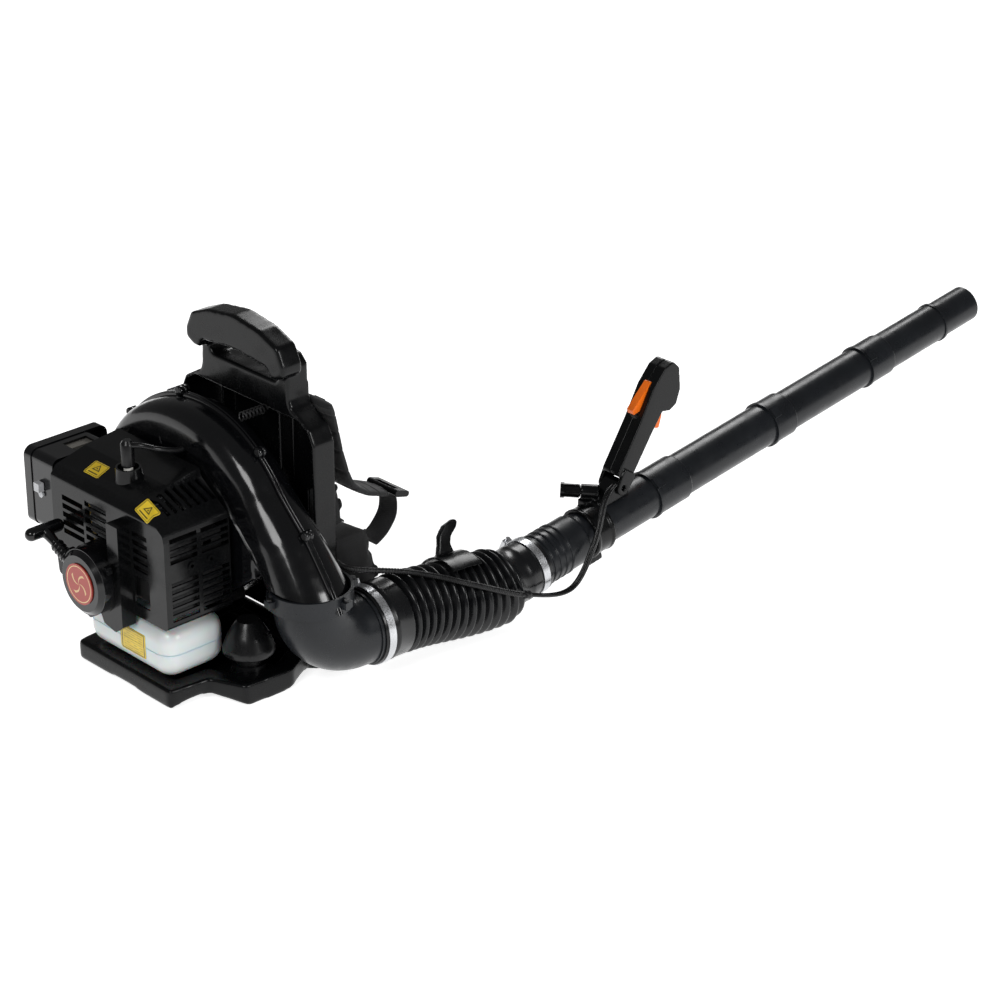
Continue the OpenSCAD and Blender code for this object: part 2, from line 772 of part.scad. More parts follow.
module engine_cover() {
    color(black) difference() {
        union() {
            difference() {
                cover_form();
                translate([0, 0, -cover_wall - 8]) cover_form(cover_wall);
                translate([0, 0, -4]) cover_form(cover_wall);
                cover_form(cover_wall);
                translate([0, 12, 0]) cover_form(cover_wall);
            }
            // raised seat of the starter, with a rib that ends in a pointed lug
            rod_y(engine_x, engine_z, starter_y1, cover_y0 + 1, starter_r + 1);
            slab_y(starter_y1 + 3, cover_y0 + 1) polygon([[-17, 256], [8, 256], [8, 104], [-8, 92], [-34, 97],
                [-44, 118], [-17, 130]]);
            // collar of the spark plug well
            translate([engine_x, cylinder_y, 284]) cylinder(h = 24, r1 = 21, r2 = 18);
            // bosses of the muffler bolts
            for (y = [-205, -172]) rod_x(y, 204, cover_x1 - 4, cover_x1 + 2, 6);
        }
        block([cover_x0 - 10, cover_y1 - 6, 0], [cover_x1 + 10, cover_y1 + 10, 400]);
        block([cover_x0 + 3, cover_y0 + 3, 60], [cover_x1 - 3, cover_y1 + 10, cover_z0 + 20]);
        slab_y(starter_y1 + 6, cover_y0 + 2) polygon([[-14, 250], [5, 250], [5, 107], [-9, 96], [-14, 97]]);
        slab_y(cover_y0 - 1, cover_y0 + 6) starter_face_slots();
        rod_y(engine_x, engine_z, starter_y1 - 1, cover_y0 + 6, starter_hole_r);
        intersection() {
            slab_x(cover_x1 - 6, cover_x1 + 1) muffler_face_slots();
            block([cover_x1 - 6, -300, 0], [cover_x1 + 1, 0, 400]);
        }
        intersection() {
            shoulder_vent_cut();
            block([shoulder_x - 4, cover_y0, 200], [cover_x1, cover_y1, 330]);
        }
        // well around the spark plug
        translate([engine_x, cylinder_y, 250]) cylinder(h = 90, r = 15);
        // mouth for the air intake
        block([cover_x0 - 6, cylinder_y - 20, port_z - 20], [cover_x0 + 6, cylinder_y + 20, port_z + 20]);
        for (y = [-205, -172]) rod_x(y, 204, cover_x1 - 6, cover_x1 + 3, 2.6);
    }
}

// ---------- recoil starter ----------

starter_y0 = -297;
starter_y1 = -275;
starter_r = 49;
starter_hole_r = 43;
pull_angle = 155;
pull_dir = [cos(pull_angle), 0, sin(pull_angle)];
reel_r = 34;
neck_len = 76;
reel_seat = [engine_x, starter_y0 + 12.5, engine_z];

module starter_housing() {
    depth = starter_y1 - starter_y0 - 0.3;
    color(gloss_black) difference() {
        union() {
            difference() {
                union() {
                    rod_y_group(engine_x, engine_z, starter_y0) {
                        cylinder(h = 7, r1 = starter_r - 8, r2 = starter_r - 1);
                        translate([0, 0, 6.5]) cylinder(h = depth - 6.5, r = starter_r - 0.5);
                    }
                    for (a = [35, 145, 270])
                        rod_y(engine_x + starter_r * cos(a), engine_z + starter_r * sin(a), starter_y1 - 9,
                            starter_y1 - 0.3, 7);
                    aim(reel_seat + 43 * pull_dir, pull_dir) cylinder(h = neck_len - 43, r = 8.5);
                }
                rod_y(engine_x, engine_z, starter_y0 + 4, starter_y1 + 1, starter_hole_r);
            }
            // post that the reel turns on
            rod_y(engine_x, engine_z, starter_y0 + 3, starter_y0 + 33, 6);
        }
        aim(reel_seat + 36 * pull_dir, pull_dir) cylinder(h = neck_len - 30, r = 3.4);
    }
}

module starter_badge() {
    color(badge_red) rod_y(engine_x, engine_z, starter_y0 - 2, starter_y0 - 0.02, 30);
}

module starter_reel() {
    color(black) rod_y_group(engine_x, engine_z, starter_y0 + 6) difference() {
        union() {
            cylinder(h = 3, r = reel_r + 6);
            cylinder(h = 12, r = reel_r);
            translate([0, 0, 12]) cylinder(h = 3, r = reel_r + 6);
        }
        translate([0, 0, -1]) cylinder(h = 20, r = 6 + run_gap);
    }
}

module recoil_spring() {
    turns = 4;
    path = [for (i = [0 : turns * 16]) let (r = 12 + 5 * i / 16) [r * cos(i * 22.5), r * sin(i * 22.5)]];
    color(steel) rod_y_group(engine_x, engine_z, starter_y0 + 23) linear_extrude(9)
        polygon(concat(path, [for (i = [len(path) - 1 : -1 : 0]) path[i] * (1 - 1 / norm(path[i]))]));
}

module starter_grip() {
    color(black) {
        aim(reel_seat + (neck_len + 0.5) * pull_dir, pull_dir) cylinder(h = 24, r1 = 6.5, r2 = 8.5);
        translate(reel_seat + (neck_len + 29) * pull_dir) rotate([-90, 0, 0]) {
            translate([0, 0, -22]) cylinder(h = 44, r = 9.5);
            for (s = [-1, 1]) translate([0, 0, s * 22]) sphere(r = 9.5, $fn = 32);
        }
        // visible end of the rope, inside the guide
        aim(reel_seat + (reel_r + 16) * pull_dir, pull_dir) cylinder(h = neck_len - reel_r - 12, r = 2);
    }
}

// ---------- fuel and air ----------

port_z = deck_z - 26;
primer_at = [-139, port_z - 3];

module carburettor() {
    color(alloy) difference() {
        union() {
            block([-160, cylinder_y - 19, port_z - 17], [-118, cylinder_y + 19, port_z + 21]);
            rod_x(cylinder_y, port_z, -118, -97, 15);
            rod_x(cylinder_y, port_z, -166, -160, 16);
        }
        rod_x(cylinder_y, port_z, -170, -96, 11);
        // pocket that takes the primer bulb when it is pressed
        rod_y(primer_at[0], primer_at[1], cylinder_y - 20, cylinder_y - 14, 12.5);
    }
}

module primer_bulb() {
    color([0.75, 0.25, 0.2]) translate([primer_at[0], cylinder_y - 19.5, primer_at[1]]) rotate([90, 0, 0])
        rotate_extrude() intersection() {
            translate([0, -1]) circle(r = 11);
            square([12, 12]);
        }
}

filter_y0 = -240;
filter_y1 = -106;
filter_z0 = 164;
filter_z1 = 283;
filter_x0 = -250;
filter_split = -234;
filter_x1 = -184;

module filter_outline(inset = 0, y_end = filter_y1) {
    offset(delta = -inset) rounded(14) translate([filter_y0, filter_z0])
        square([y_end - filter_y0, filter_z1 - filter_z0]);
}

module air_filter_base() {
    color(gloss_black) difference() {
        union() {
            slab_x(filter_split + 0.2, filter_x1) filter_outline(1.5, fan_y_rear - 2);
            rod_x(cylinder_y, port_z, filter_x1 - 1, -166.2, 17);
        }
        slab_x(filter_split - 1, filter_x1 - 3) filter_outline(4.5, fan_y_rear - 2);
        rod_x(cylinder_y, port_z, filter_x1 - 8, -160, 11);
        // air inlet in the top
        block([-222, -192, filter_z1 - 12], [-194, -152, filter_z1 + 1]);
    }
}

module air_filter_element() {
    color([0.35, 0.35, 0.33]) slab_x(filter_split + 3, filter_split + 26) filter_outline(6, fan_y_rear - 2);
}

module air_filter_cover() {
    color(gloss_black) difference() {
        slab_x(filter_x0, filter_split) filter_outline();
        slab_x(filter_x0 + 3, filter_split + 1) filter_outline(3);
    }
}

choke_pivot = [-212, filter_y0 + 1.5, 222];

module choke_lever() {
    color([0.82, 0.83, 0.84]) {
        rod_y(choke_pivot[0], choke_pivot[2], choke_pivot[1] - 3.5, choke_pivot[1] - 0.3, 5);
        block([choke_pivot[0] - 3, choke_pivot[1] - 3.5, choke_pivot[2]],
            [choke_pivot[0] + 3, choke_pivot[1] - 0.5, choke_pivot[2] + 12]);
        block([choke_pivot[0] - 6, choke_pivot[1] - 10, choke_pivot[2] + 6],
            [choke_pivot[0] + 6, choke_pivot[1] - 1, choke_pivot[2] + 19]);
    }
}

tank_lo = [-112, -249, base_h + 0.5];
tank_hi = [76, -142, 112];
tank_round = 22;
cap_at = [tank_lo[0], -214, 78];

// Box of the tank rounded along all its edges
module tank_form(inset) {
    lo = tank_lo + [inset, inset, inset];
    hi = tank_hi - [inset, inset, inset];
    r = tank_round - inset;
    intersection() {
        translate([0, 0, lo[2]]) linear_extrude(hi[2] - lo[2])
            rounded(r) tank_side([lo[0], lo[1]], [hi[0], hi[1]]);
        slab_y(lo[1], hi[1]) rounded(r) tank_side([lo[0], lo[2]], [hi[0], hi[2]]);
        slab_x(lo[0], hi[0]) rounded(r) tank_side([lo[1], lo[2]], [hi[1], hi[2]]);
    }
}

module tank_side(a, b) {
    translate(a) square(b - a);
}

module fuel_tank() {
    color(tank_white, 0.8) difference() {
        union() {
            tank_form(0);
            rod_x(cap_at[1], cap_at[2], cap_at[0] - 8, cap_at[0] + 12, 15);
        }
        tank_form(2.5);
        rod_x(cap_at[1], cap_at[2], cap_at[0] - 9, cap_at[0] + 8, 12);
    }
}

module fuel_cap() {
    color(black) difference() {
        union() {
            rod_x(cap_at[1], cap_at[2], cap_at[0] - 20, cap_at[0] - 4, 19);
            for (a = [0 : 30 : 330]) translate([cap_at[0] - 19, cap_at[1], cap_at[2]]) rotate([a, 0, 0])
                translate([0, 0, 18]) rotate([0, 90, 0]) cylinder(h = 14, r = 2.5);
        }
        rod_x(cap_at[1], cap_at[2], cap_at[0] - 16, cap_at[0] - 3, 15 + run_gap);
    }
}

module fuel_lines() {
    for (dy = [-6, 6])
        color([0.5, 0.45, 0.3]) round_line(curve([[-104, cylinder_y + dy, tank_hi[2] - 2 + 2.4],
            [-106, cylinder_y + dy, 128], [-126, cylinder_y + dy, 158],
            [-139, cylinder_y + dy, port_z - 17.9]], 5), 2.4, 8, [0, 1, 0]);
}

// ---------- outlet elbow and hose ----------

elbow_yaw = 2.5;
elbow_bend = 70;
elbow_r = 57;
elbow_out_z = 77;
elbow_run = 122;
elbow_dir = [sin(elbow_yaw), cos(elbow_yaw), 0];
elbow_top = outlet_z + 14;
tube_dir = [0, cos(tube_pitch), sin(tube_pitch)];
tube_x = 212;
tube_start = [tube_x, 300, 75];

module elbow_core(r, past = 0) {
    translate([outlet_x, fan_y_mid, 0]) rotate(-elbow_yaw) {
        translate([0, 0, elbow_out_z + elbow_bend])
            cylinder(h = elbow_top - elbow_out_z - elbow_bend + past, r = r);
        translate([0, elbow_bend, elbow_out_z + elbow_bend]) rotate([-90, 0, -90])
            rotate_extrude(angle = 90) translate([elbow_bend, 0]) circle(r = r);
        translate([0, elbow_bend, elbow_out_z]) rotate([-90, 0, 0])
            cylinder(h = elbow_run - elbow_bend + past, r = r);
    }
}

lug_turns = [10, 75, 262];

module elbow() {
    color(tube_grey) difference() {
        union() {
            elbow_core(elbow_r - 5);
            aim(elbow_at(near_cuff_start - 5), elbow_dir)
                cylinder(h = elbow_run - near_cuff_start + 4, r = elbow_r - 3);
            difference() {
                translate([outlet_x, fan_y_mid, elbow_top - 26]) cylinder(h = 26, r = outlet_r + 4);
                // the collar is lower where the case curves in
                block([outlet_x - 70, fan_y_mid - 70, outlet_z + 2.2], [outlet_x - 19.5, fan_y_mid + 70, elbow_top + 2]);
            }
            for (a = lug_turns)
                translate([outlet_x, fan_y_mid, elbow_top - 16]) rotate(a)
                    translate([outlet_r, -7, 0]) cube([13, 14, 10]);
        }
        elbow_core(elbow_r - 9, 1);
        translate([outlet_x, fan_y_mid, outlet_z - 0.5]) cylinder(h = 20, r = outlet_r + 0.2);
        for (a = lug_turns)
            translate([outlet_x, fan_y_mid, elbow_top - 17]) rotate(a)
                translate([outlet_r + 8.5, 0, 0]) cylinder(h = 12, r = 2.1);
    }
}

module elbow_screws() {
    color(steel) for (a = lug_turns)
        translate([outlet_x, fan_y_mid, elbow_top - 20]) rotate(a) translate([outlet_r + 8.5, 0, 0]) {
            cylinder(h = 14.5, r = 2);
            translate([0, 0, 14.1]) cylinder(h = 3, r = 4);
        }
}

function elbow_at(s) = [outlet_x, fan_y_mid, elbow_out_z] + s * elbow_dir;
function tube_at(t) = tube_start + t * tube_dir;

near_cuff_start = 88;
near_cuff_end = 143;
near_cuff_r = 57;
far_cuff_start = -48;
far_cuff_end = 13;
far_cuff_r = 43;
hose_wall = 2.5;
pleat_from = elbow_at(near_cuff_end);
pleat_to = tube_at(far_cuff_start);
pleat_len = norm(pleat_to - pleat_from);

// Half section of the pleats, crests rounded to short flats
function pleat_side(shift) = [
    for (i = [0 : pleat_count - 1])
        let (p = pleat_len / pleat_count)
            for (q = [[0, 0], [0.22, 0], [0.42, 1], [0.62, 1], [0.82, 0]])
                [bellows_root_r + (bellows_r - bellows_root_r) * q[1] - shift, (i + q[0]) * p]];

module pleats(shift) {
    end = pleat_len + (shift > 0 ? -3 : 4);
    rotate_extrude() polygon(concat([[0, -1 - shift]], [[bellows_root_r - shift, -1 - shift]],
        [for (q = pleat_side(shift)) if (q[1] < end) q], [[bellows_root_r - shift, end]], [[0, end]]));
}

module bellows_hose() {
    color(gloss_black) difference() {
        union() {
            aim(elbow_at(near_cuff_start), elbow_dir) cylinder(h = near_cuff_end - near_cuff_start, r = near_cuff_r);
            aim(pleat_from, pleat_to - pleat_from) pleats(0);
            aim(tube_at(far_cuff_start - 2), tube_dir)
                cylinder(h = far_cuff_end - far_cuff_start + 2, r = far_cuff_r);
        }
        aim(elbow_at(near_cuff_start - 1), elbow_dir)
            cylinder(h = near_cuff_end - near_cuff_start - 2, r = near_cuff_r - hose_wall);
        aim(pleat_from, pleat_to - pleat_from) pleats(hose_wall);
        aim(tube_at(far_cuff_start - 12), tube_dir)
            cylinder(h = far_cuff_end - far_cuff_start + 15, r = far_cuff_r - hose_wall);
    }
}

// Worm-drive band round a cuff of radius r, with its housing at the given angle
module worm_band(r, angle) {
    band_w = 12;
    ring(r + 1.2, r + 0.05, band_w);
    rotate(angle) translate([r + 1, -9, -1]) cube([7, 18, band_w + 2]);
}

module worm_clamp(r, angle) {
    difference() {
        worm_band(r, angle);
        rotate(angle) translate([r + 5, -17, 5]) rotate([-90, 0, 0]) cylinder(h = 40, r = 2.2 + run_gap);
    }
    rotate(angle) translate([r + 5, -16, 5]) rotate([-90, 0, 0]) {
        cylinder(h = 6.5, r = 4.2, $fn = 6);
        cylinder(h = 31, r = 2.2 + run_gap);
    }
}

module near_clamp() {
    color(steel) aim(elbow_at(92), elbow_dir) worm_clamp(near_cuff_r, 148);
}

module far_clamp() {
    color(steel) aim(tube_at(-6), tube_dir) worm_clamp(far_cuff_r, 120);
}

// Saddle strapped over the bellows, with a hooked fin that holds the tube while the blower is carried
hook_from = 84;
hook_len = 52;

module hook_view() {
    rounded(3) polygon([[30, 0], [58, 0], [56, 14], [60, 24], [72, 34], [76, 42], [70, 46], [52, 40],
        [40, 28], [36, 14]]);
}

module hose_hook() {
    s = unit(pleat_to - pleat_from);
    saddle_r = bellows_r + 3.6;
    color(black) aim(pleat_from + hook_from * s, s) rotate(155) {
        difference() {
            ring(saddle_r, bellows_r + 0.4, hook_len);
            translate([-100, -100, -1]) cube([138, 200, hook_len + 2]);
        }
        translate([saddle_r - 1, 0, 0]) rotate([90, 0, 0]) translate([0, 0, -5]) linear_extrude(10)
            rotate(90) mirror([0, 1]) translate([-20, 0]) hook_view();
    }
}

// ---------- tubes ----------

swell_r = 38.5;
tube_rear = -16;
control_end = 306;
socket1 = [246, 312];
middle_end = 543;
socket2 = [507, 551];
extension_end = 780;
socket3 = [733, 786];
mouth_ring = 920;
tip = 1000;
socket_wall = 1.8;
socket_gap = 0.1;

module on_tube(t) {
    aim(tube_at(t), tube_dir) children();
}

module control_tube() {
    color(tube_grey) {
        difference() {
            union() {
                on_tube(clamp_from - 20) cylinder(h = control_end - clamp_from + 20, r = control_r);
                on_tube(tube_rear) cylinder(h = clamp_from - 18 - tube_rear, r = swell_r);
                on_tube(clamp_from - 18) cylinder(h = 10, r1 = swell_r, r2 = control_r - 1);
                for (t = [20, 32, 44, 56]) on_tube(t) cylinder(h = 5, r = swell_r + 1.5);
            }
            on_tube(tube_rear - 1) cylinder(h = control_end + 40, r = control_r - tube_wall);
        }
    }
}

// A tube with a socket at its rear end that slips over the tube before it
module socket_tube(socket, end, r, inner_r) {
    out_r = inner_r + socket_gap + socket_wall;
    difference() {
        union() {
            on_tube(socket[0]) cylinder(h = socket[1] - socket[0], r = out_r);
            on_tube(socket[0]) cylinder(h = 5, r = out_r + 1.6);
            on_tube(socket[1]) cylinder(h = 6, r1 = out_r, r2 = r - 1);
            on_tube(socket[1] - 3) cylinder(h = end - socket[1] + 3, r = r);
            for (a = [40, 220]) on_tube(socket[0] + 1) rotate(a) translate([out_r - 1, -9, 0]) cube([5, 18, 14]);
        }
        on_tube(socket[0] - 1) cylinder(h = socket[1] - socket[0] - 4, r = inner_r + socket_gap);
        on_tube(socket[0]) cylinder(h = end - socket[0] + 1, r = r - tube_wall);
    }
}

module middle_tube() {
    color(tube_grey) socket_tube(socket1, middle_end, middle_r, control_r);
}

module extension_tube() {
    color(tube_grey) socket_tube(socket2, extension_end, extension_r, middle_r);
}

module nozzle_tube() {
    color(tube_grey) difference() {
        union() {
            socket_tube(socket3, mouth_ring, nozzle_r, extension_r);
            on_tube(mouth_ring - 4) ring(nozzle_r + 1.8, mouth_r - tube_wall, 5);
            on_tube(mouth_ring) ring(mouth_r, mouth_r - tube_wall, tip - mouth_ring);
        }
    }
}

// ---------- control handle ----------

handle_pivot = [tube_x, 478, 150];
pivot_r = 4;
grip_half = grip_w / 2;
boss_half = 15;

module in_handle() {
    translate(handle_pivot) rotate([-grip_lean, 0, 0]) children();
}

// Side view of the grip: first coordinate forward, second up along the grip
module grip_view() {
    rounded(6) polygon([[-20, 12], [12, 12], [13, 90], [15, 126], [30, 133], [37, 146], [31, 169],
        [9, 196], [-9, 199], [-20, 184], [-25, 150], [-21, 96]]);
}

module fork_view() {
    hull() {
        circle(r = 12);
        translate([-14, 16]) square([28, 6]);
    }
}

module trigger_view(grow = 0) {
    offset(delta = grow) rounded(2) polygon([[8, 138], [20, 138], [30, 120], [35, 103], [28, 100], [16, 112]]);
}

module lever_view(grow = 0) {
    offset(delta = grow) rounded(2) polygon([[-16, 160], [-25, 158], [-31, 132], [-36, 108], [-30, 103], [-18, 116]]);
}

trigger_half = 6;
trigger_pivot = [13, 133];
lever_pivot = [-18, 155];

module grip_solid(x0, x1) {
    in_handle() difference() {
        slab_x(x0, x1) grip_view();
        slab_x(x0 > -1 ? x0 - 1 : x0 + 3, x0 > -1 ? x1 - 3 : x1 + 1) offset(delta = -3) grip_view();
        slab_x(-trigger_half - 0.5, trigger_half + 0.5) trigger_view(0.6);
        slab_x(-trigger_half - 0.5, trigger_half + 0.5) lever_view(0.6);
        // room for the trigger and the lever as they are pressed
        slab_x(-trigger_half - 0.5, trigger_half + 0.5) translate([4, 94]) square([16, 44]);
        slab_x(-trigger_half - 0.5, trigger_half + 0.5) translate([-26, 100]) square([16, 48]);
    }
}

module grip_fork(x0, x1) {
    in_handle() difference() {
        slab_x(x0, x1) union() {
            fork_view();
            translate([-13, 10]) square([26, 16]);
        }
        rod_x(0, 0, x0 - 1, x1 + 1, pivot_r + run_gap);
    }
}

module grip_shell_left() {
    color(black) {
        grip_solid(-grip_half, -eps);
        grip_fork(-grip_half - 4, -boss_half - 0.3);
    }
}

module grip_shell_right() {
    color(black) {
        grip_solid(eps, grip_half);
        grip_fork(boss_half + 0.3, grip_half + 4);
    }
}

module throttle_trigger() {
    color(orange) in_handle() difference() {
        slab_x(-trigger_half, trigger_half) trigger_view();
        rod_x(trigger_pivot[0], trigger_pivot[1], -10, 10, 1.6);
    }
}

module lock_lever() {
    color(orange) in_handle() difference() {
        slab_x(-trigger_half, trigger_half) lever_view();
        rod_x(lever_pivot[0], lever_pivot[1], -10, 10, 1.6);
    }
}

clamp_from = 110;
clamp_len = 36;
knob_at = [tube_x - 6, 452, 143];
knob_dir = [-0.7, -0.7, 0.05];

module handle_clamp() {
    color(black) difference() {
        union() {
            on_tube(clamp_from) cylinder(h = clamp_len, r = control_r + 4);
            on_tube(clamp_from) cylinder(h = 5, r = control_r + 5.5);
            on_tube(clamp_from + clamp_len - 5) cylinder(h = 5, r = control_r + 5.5);
            slab_x(tube_x - boss_half, tube_x + boss_half) hull() {
                translate([handle_pivot[1], handle_pivot[2]]) circle(r = 11);
                translate([432, 118]) square([66, 6]);
            }
            // lug that takes the knob
            aim(knob_at, knob_dir) cylinder(h = 26, r = 11);
            block([tube_x - 22, 424, 116], [tube_x - 4, 448, 135.6]);
            // lower lug
            on_tube(clamp_from + 6) translate([36, -8, 0]) cube([18, 16, 26]);
        }
        on_tube(clamp_from - 40) cylinder(h = clamp_len + 120, r = control_r + 0.05);
        rod_x(handle_pivot[1], handle_pivot[2], 100, 300, pivot_r + run_gap);
        aim(knob_at, knob_dir) cylinder(h = 40, r = 5 + run_gap);
    }
}

module handle_knob() {
    color(black) aim(knob_at, knob_dir) {
        translate([0, 0, 8]) cylinder(h = 22, r = 5);
        translate([0, 0, 26.4]) cylinder(h = 24, r = 8.5);
        translate([0, 0, 50.4 - eps]) cylinder(h = 6, r = 11.5);
        for (a = [0 : 45 : 315]) rotate(a) translate([8, -1.5, 28]) cube([2.2, 3, 24]);
    }
}

cable_r = 3.6;
cable_path = [[166, -20, 176], [184, -8, 168], [200, 72, 142], [230, 112, 131], [255, 151, 115], [274, 240, 74],
    [268, 335, 48], [262, 388, 100], [244, 428, 152], [234, 456, 163]];

module throttle_cable() {
    color(black) round_line(curve(cable_path, 7), cable_r, 8);
}

// ---------- stickers ----------

module sticker(p, turn, w, h) {
    translate(p) rotate(turn) linear_extrude(0.4) rounded(2.5) translate([-w / 2, -h / 2]) square([w, h]);
}

module labels() {
    color(label_yellow) {
        sticker([-104, -219.5, 290.35], [atan2(18, 45), 0, 0], 34, 25);
        sticker([54.5, -228, 277.9], [0, atan2(34, 53), 0], 20, 18);
        sticker([0, tank_lo[1] - 0.1, 72], [90, 0, 0], 58, 36);
    }
}

back_frame();
base_foot();
frame_bolts();
back_pad();
lumbar_pad();
shoulder_strap_right();
shoulder_strap_left();
webbing_right();
webbing_left();
strap_buckles();
isolation_springs();
mount_cups();
mount_pedestals();
fan_case_rear();
fan_case_front();
case_screws();
intake_guard();
impeller();
crankcase();
crankshaft();
flywheel();
ignition_coil();
engine_cylinder();
piston();
spark_plug();
plug_boot();
muffler();
engine_cover();
starter_housing();
starter_badge();
starter_reel();
recoil_spring();
starter_grip();
carburettor();
primer_bulb();
air_filter_base();
air_filter_element();
air_filter_cover();
choke_lever();
fuel_tank();
fuel_cap();
fuel_lines();
labels();
elbow();
elbow_screws();
near_clamp();
far_clamp();
bellows_hose();
hose_hook();
control_tube();
handle_clamp();
handle_knob();
grip_shell_left();
grip_shell_right();
throttle_trigger();
lock_lever();
throttle_cable();
middle_tube();
extension_tube();
nozzle_tube();
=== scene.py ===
import json
import math

import bmesh
import bpy
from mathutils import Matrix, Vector
from mathutils.bvhtree import BVHTree


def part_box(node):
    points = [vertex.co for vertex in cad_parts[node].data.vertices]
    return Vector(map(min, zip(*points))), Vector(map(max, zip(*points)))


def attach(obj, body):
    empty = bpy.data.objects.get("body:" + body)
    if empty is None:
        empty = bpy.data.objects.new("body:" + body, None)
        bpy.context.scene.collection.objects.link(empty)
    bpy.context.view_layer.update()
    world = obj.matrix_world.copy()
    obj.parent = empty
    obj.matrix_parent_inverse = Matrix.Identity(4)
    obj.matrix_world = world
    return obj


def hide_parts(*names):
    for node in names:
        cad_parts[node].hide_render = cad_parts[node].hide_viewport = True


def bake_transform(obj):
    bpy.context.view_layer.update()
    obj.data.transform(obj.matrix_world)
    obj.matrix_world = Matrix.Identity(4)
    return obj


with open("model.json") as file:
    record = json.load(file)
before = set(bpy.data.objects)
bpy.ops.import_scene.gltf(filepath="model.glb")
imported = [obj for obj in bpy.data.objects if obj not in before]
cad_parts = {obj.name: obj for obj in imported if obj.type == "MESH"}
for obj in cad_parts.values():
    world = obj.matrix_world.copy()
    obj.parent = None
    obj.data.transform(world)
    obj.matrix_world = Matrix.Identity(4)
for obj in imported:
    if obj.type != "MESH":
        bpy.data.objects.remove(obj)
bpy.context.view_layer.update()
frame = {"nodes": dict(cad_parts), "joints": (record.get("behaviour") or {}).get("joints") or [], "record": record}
nodes = frame["nodes"]
joints = {j["name"]: j for j in frame["joints"]}
MM = 0.001
UP = Vector((0, 0, 1))

# ---------------------------------------------------------------- materials


class Graph:
    """A material and short calls that add nodes to it."""

    def __init__(self, name):
        self.mat = bpy.data.materials.new(name)
        self.mat.use_nodes = True
        self.tree = self.mat.node_tree
        self.bsdf = self.tree.nodes["Principled BSDF"]
        self.coord = self.add("ShaderNodeTexCoord").outputs["Object"]

    def add(self, kind, **values):
        n = self.tree.nodes.new(kind)
        for key, v in values.items():
            if hasattr(n, key):
                setattr(n, key, v)
            else:
                n.inputs[key.replace("_", " ")].default_value = v
        return n

    def link(self, a, b):
        self.tree.links.new(a, b)

    def noise(self, scale, detail=3.0, rough=0.55):
        n = self.add("ShaderNodeTexNoise", Scale=scale, Detail=detail, Roughness=rough)
        self.link(self.coord, n.inputs["Vector"])
        return n.outputs["Fac"]

    def wave(self, source, pitch):
        """Sine along a length, one turn per pitch."""
        return self.math("SINE", self.math("MULTIPLY", source, 2 * math.pi / pitch))

    def axes(self, vector):
        """The X, Y and Z sockets of a vector."""
        n = self.add("ShaderNodeSeparateXYZ")
        self.link(vector, n.inputs[0])
        return n.outputs["X"], n.outputs["Y"], n.outputs["Z"]

    def ramp(self, source, lo, hi, a=0.0, b=1.0):
        r = self.add("ShaderNodeMapRange")
        self.link(source, r.inputs["Value"])
        for key, v in (("From Min", lo), ("From Max", hi), ("To Min", a), ("To Max", b)):
            r.inputs[key].default_value = v
        return r.outputs["Result"]

    def math(self, op, a, b=None):
        n = self.add("ShaderNodeMath", operation=op)
        for i, v in enumerate((a, b)):
            if v is None:
                continue
            if isinstance(v, (int, float)):
                n.inputs[i].default_value = v
            else:
                self.link(v, n.inputs[i])
        return n.outputs[0]

    def mix(self, fac, a, b):
        n = self.add("ShaderNodeMix", data_type="RGBA")
        for key, v in (("Factor", fac), ("A", a), ("B", b)):
            socket = [s for s in n.inputs if s.name == key and s.enabled][0]
            if isinstance(v, (int, float)):
                socket.default_value = v
            elif isinstance(v, tuple):
                socket.default_value = (*v, 1.0)
            else:
                self.link(v, socket)
        return [s for s in n.outputs if s.enabled][0]

    def bump(self, height, strength, distance):
        n = self.add("ShaderNodeBump", Strength=strength, Distance=distance)
        self.link(height, n.inputs["Height"])
        self.link(n.outputs["Normal"], self.bsdf.inputs["Normal"])

    def set(self, **values):
        for key, v in values.items():
            socket = self.bsdf.inputs[key.replace("_", " ")]
            if hasattr(v, "is_linked"):
                self.link(v, socket)
            elif isinstance(v, tuple) and len(v) == 3 and socket.type == "RGBA":
                socket.default_value = (*v, 1.0)
            else:
                socket.default_value = v


def shade(base, k):
    """The colour, k times as bright."""
    return tuple(c * k for c in base)


def moulded(name, base, rough=0.42, grain=1500.0, depth=0.1, wear=0.5, light=1.9, coat=0.0, shine=0.3):
    """Moulded polymer: fine grain, a cloudy tone and paler, scuffed edges."""
    g = Graph(name)
    cloud = g.ramp(g.noise(14.0), 0.3, 0.7)
    tone = g.mix(cloud, shade(base, 0.82), shade(base, 1.2))
    edge = g.add("ShaderNodeNewGeometry").outputs["Pointiness"]
    scuffs = g.noise(260.0, 4.0)
    worn = g.math("MULTIPLY", g.ramp(edge, 0.515, 0.56), g.ramp(scuffs, 0.4, 0.62, 0.0, wear))
    colour = g.mix(worn, tone, tuple(min(1.0, c * light + 0.006) for c in base))
    patchy = g.ramp(g.noise(40.0, 5.0), 0.3, 0.7, rough - 0.07, rough + 0.09)
    g.set(Base_Color=colour, Roughness=patchy, Coat_Weight=coat, Coat_Roughness=0.12, Specular_IOR_Level=shine)
    g.bump(g.noise(grain, 2.0), depth, 0.0004)
    return g.mat


def metal(name, base, rough, scale, metallic=1.0, depth=0.08):
    """Metal with uneven sheen and a fine tooled grain."""
    g = Graph(name)
    grain = g.noise(scale, 3.0, 0.6)
    cloud = g.ramp(g.noise(22.0), 0.3, 0.7)
    g.set(Base_Color=g.mix(cloud, shade(base, 0.8), base), Metallic=metallic,
          Roughness=g.ramp(grain, 0.3, 0.7, rough - 0.1, rough + 0.12))
    g.bump(grain, depth, 0.0003)
    return g.mat


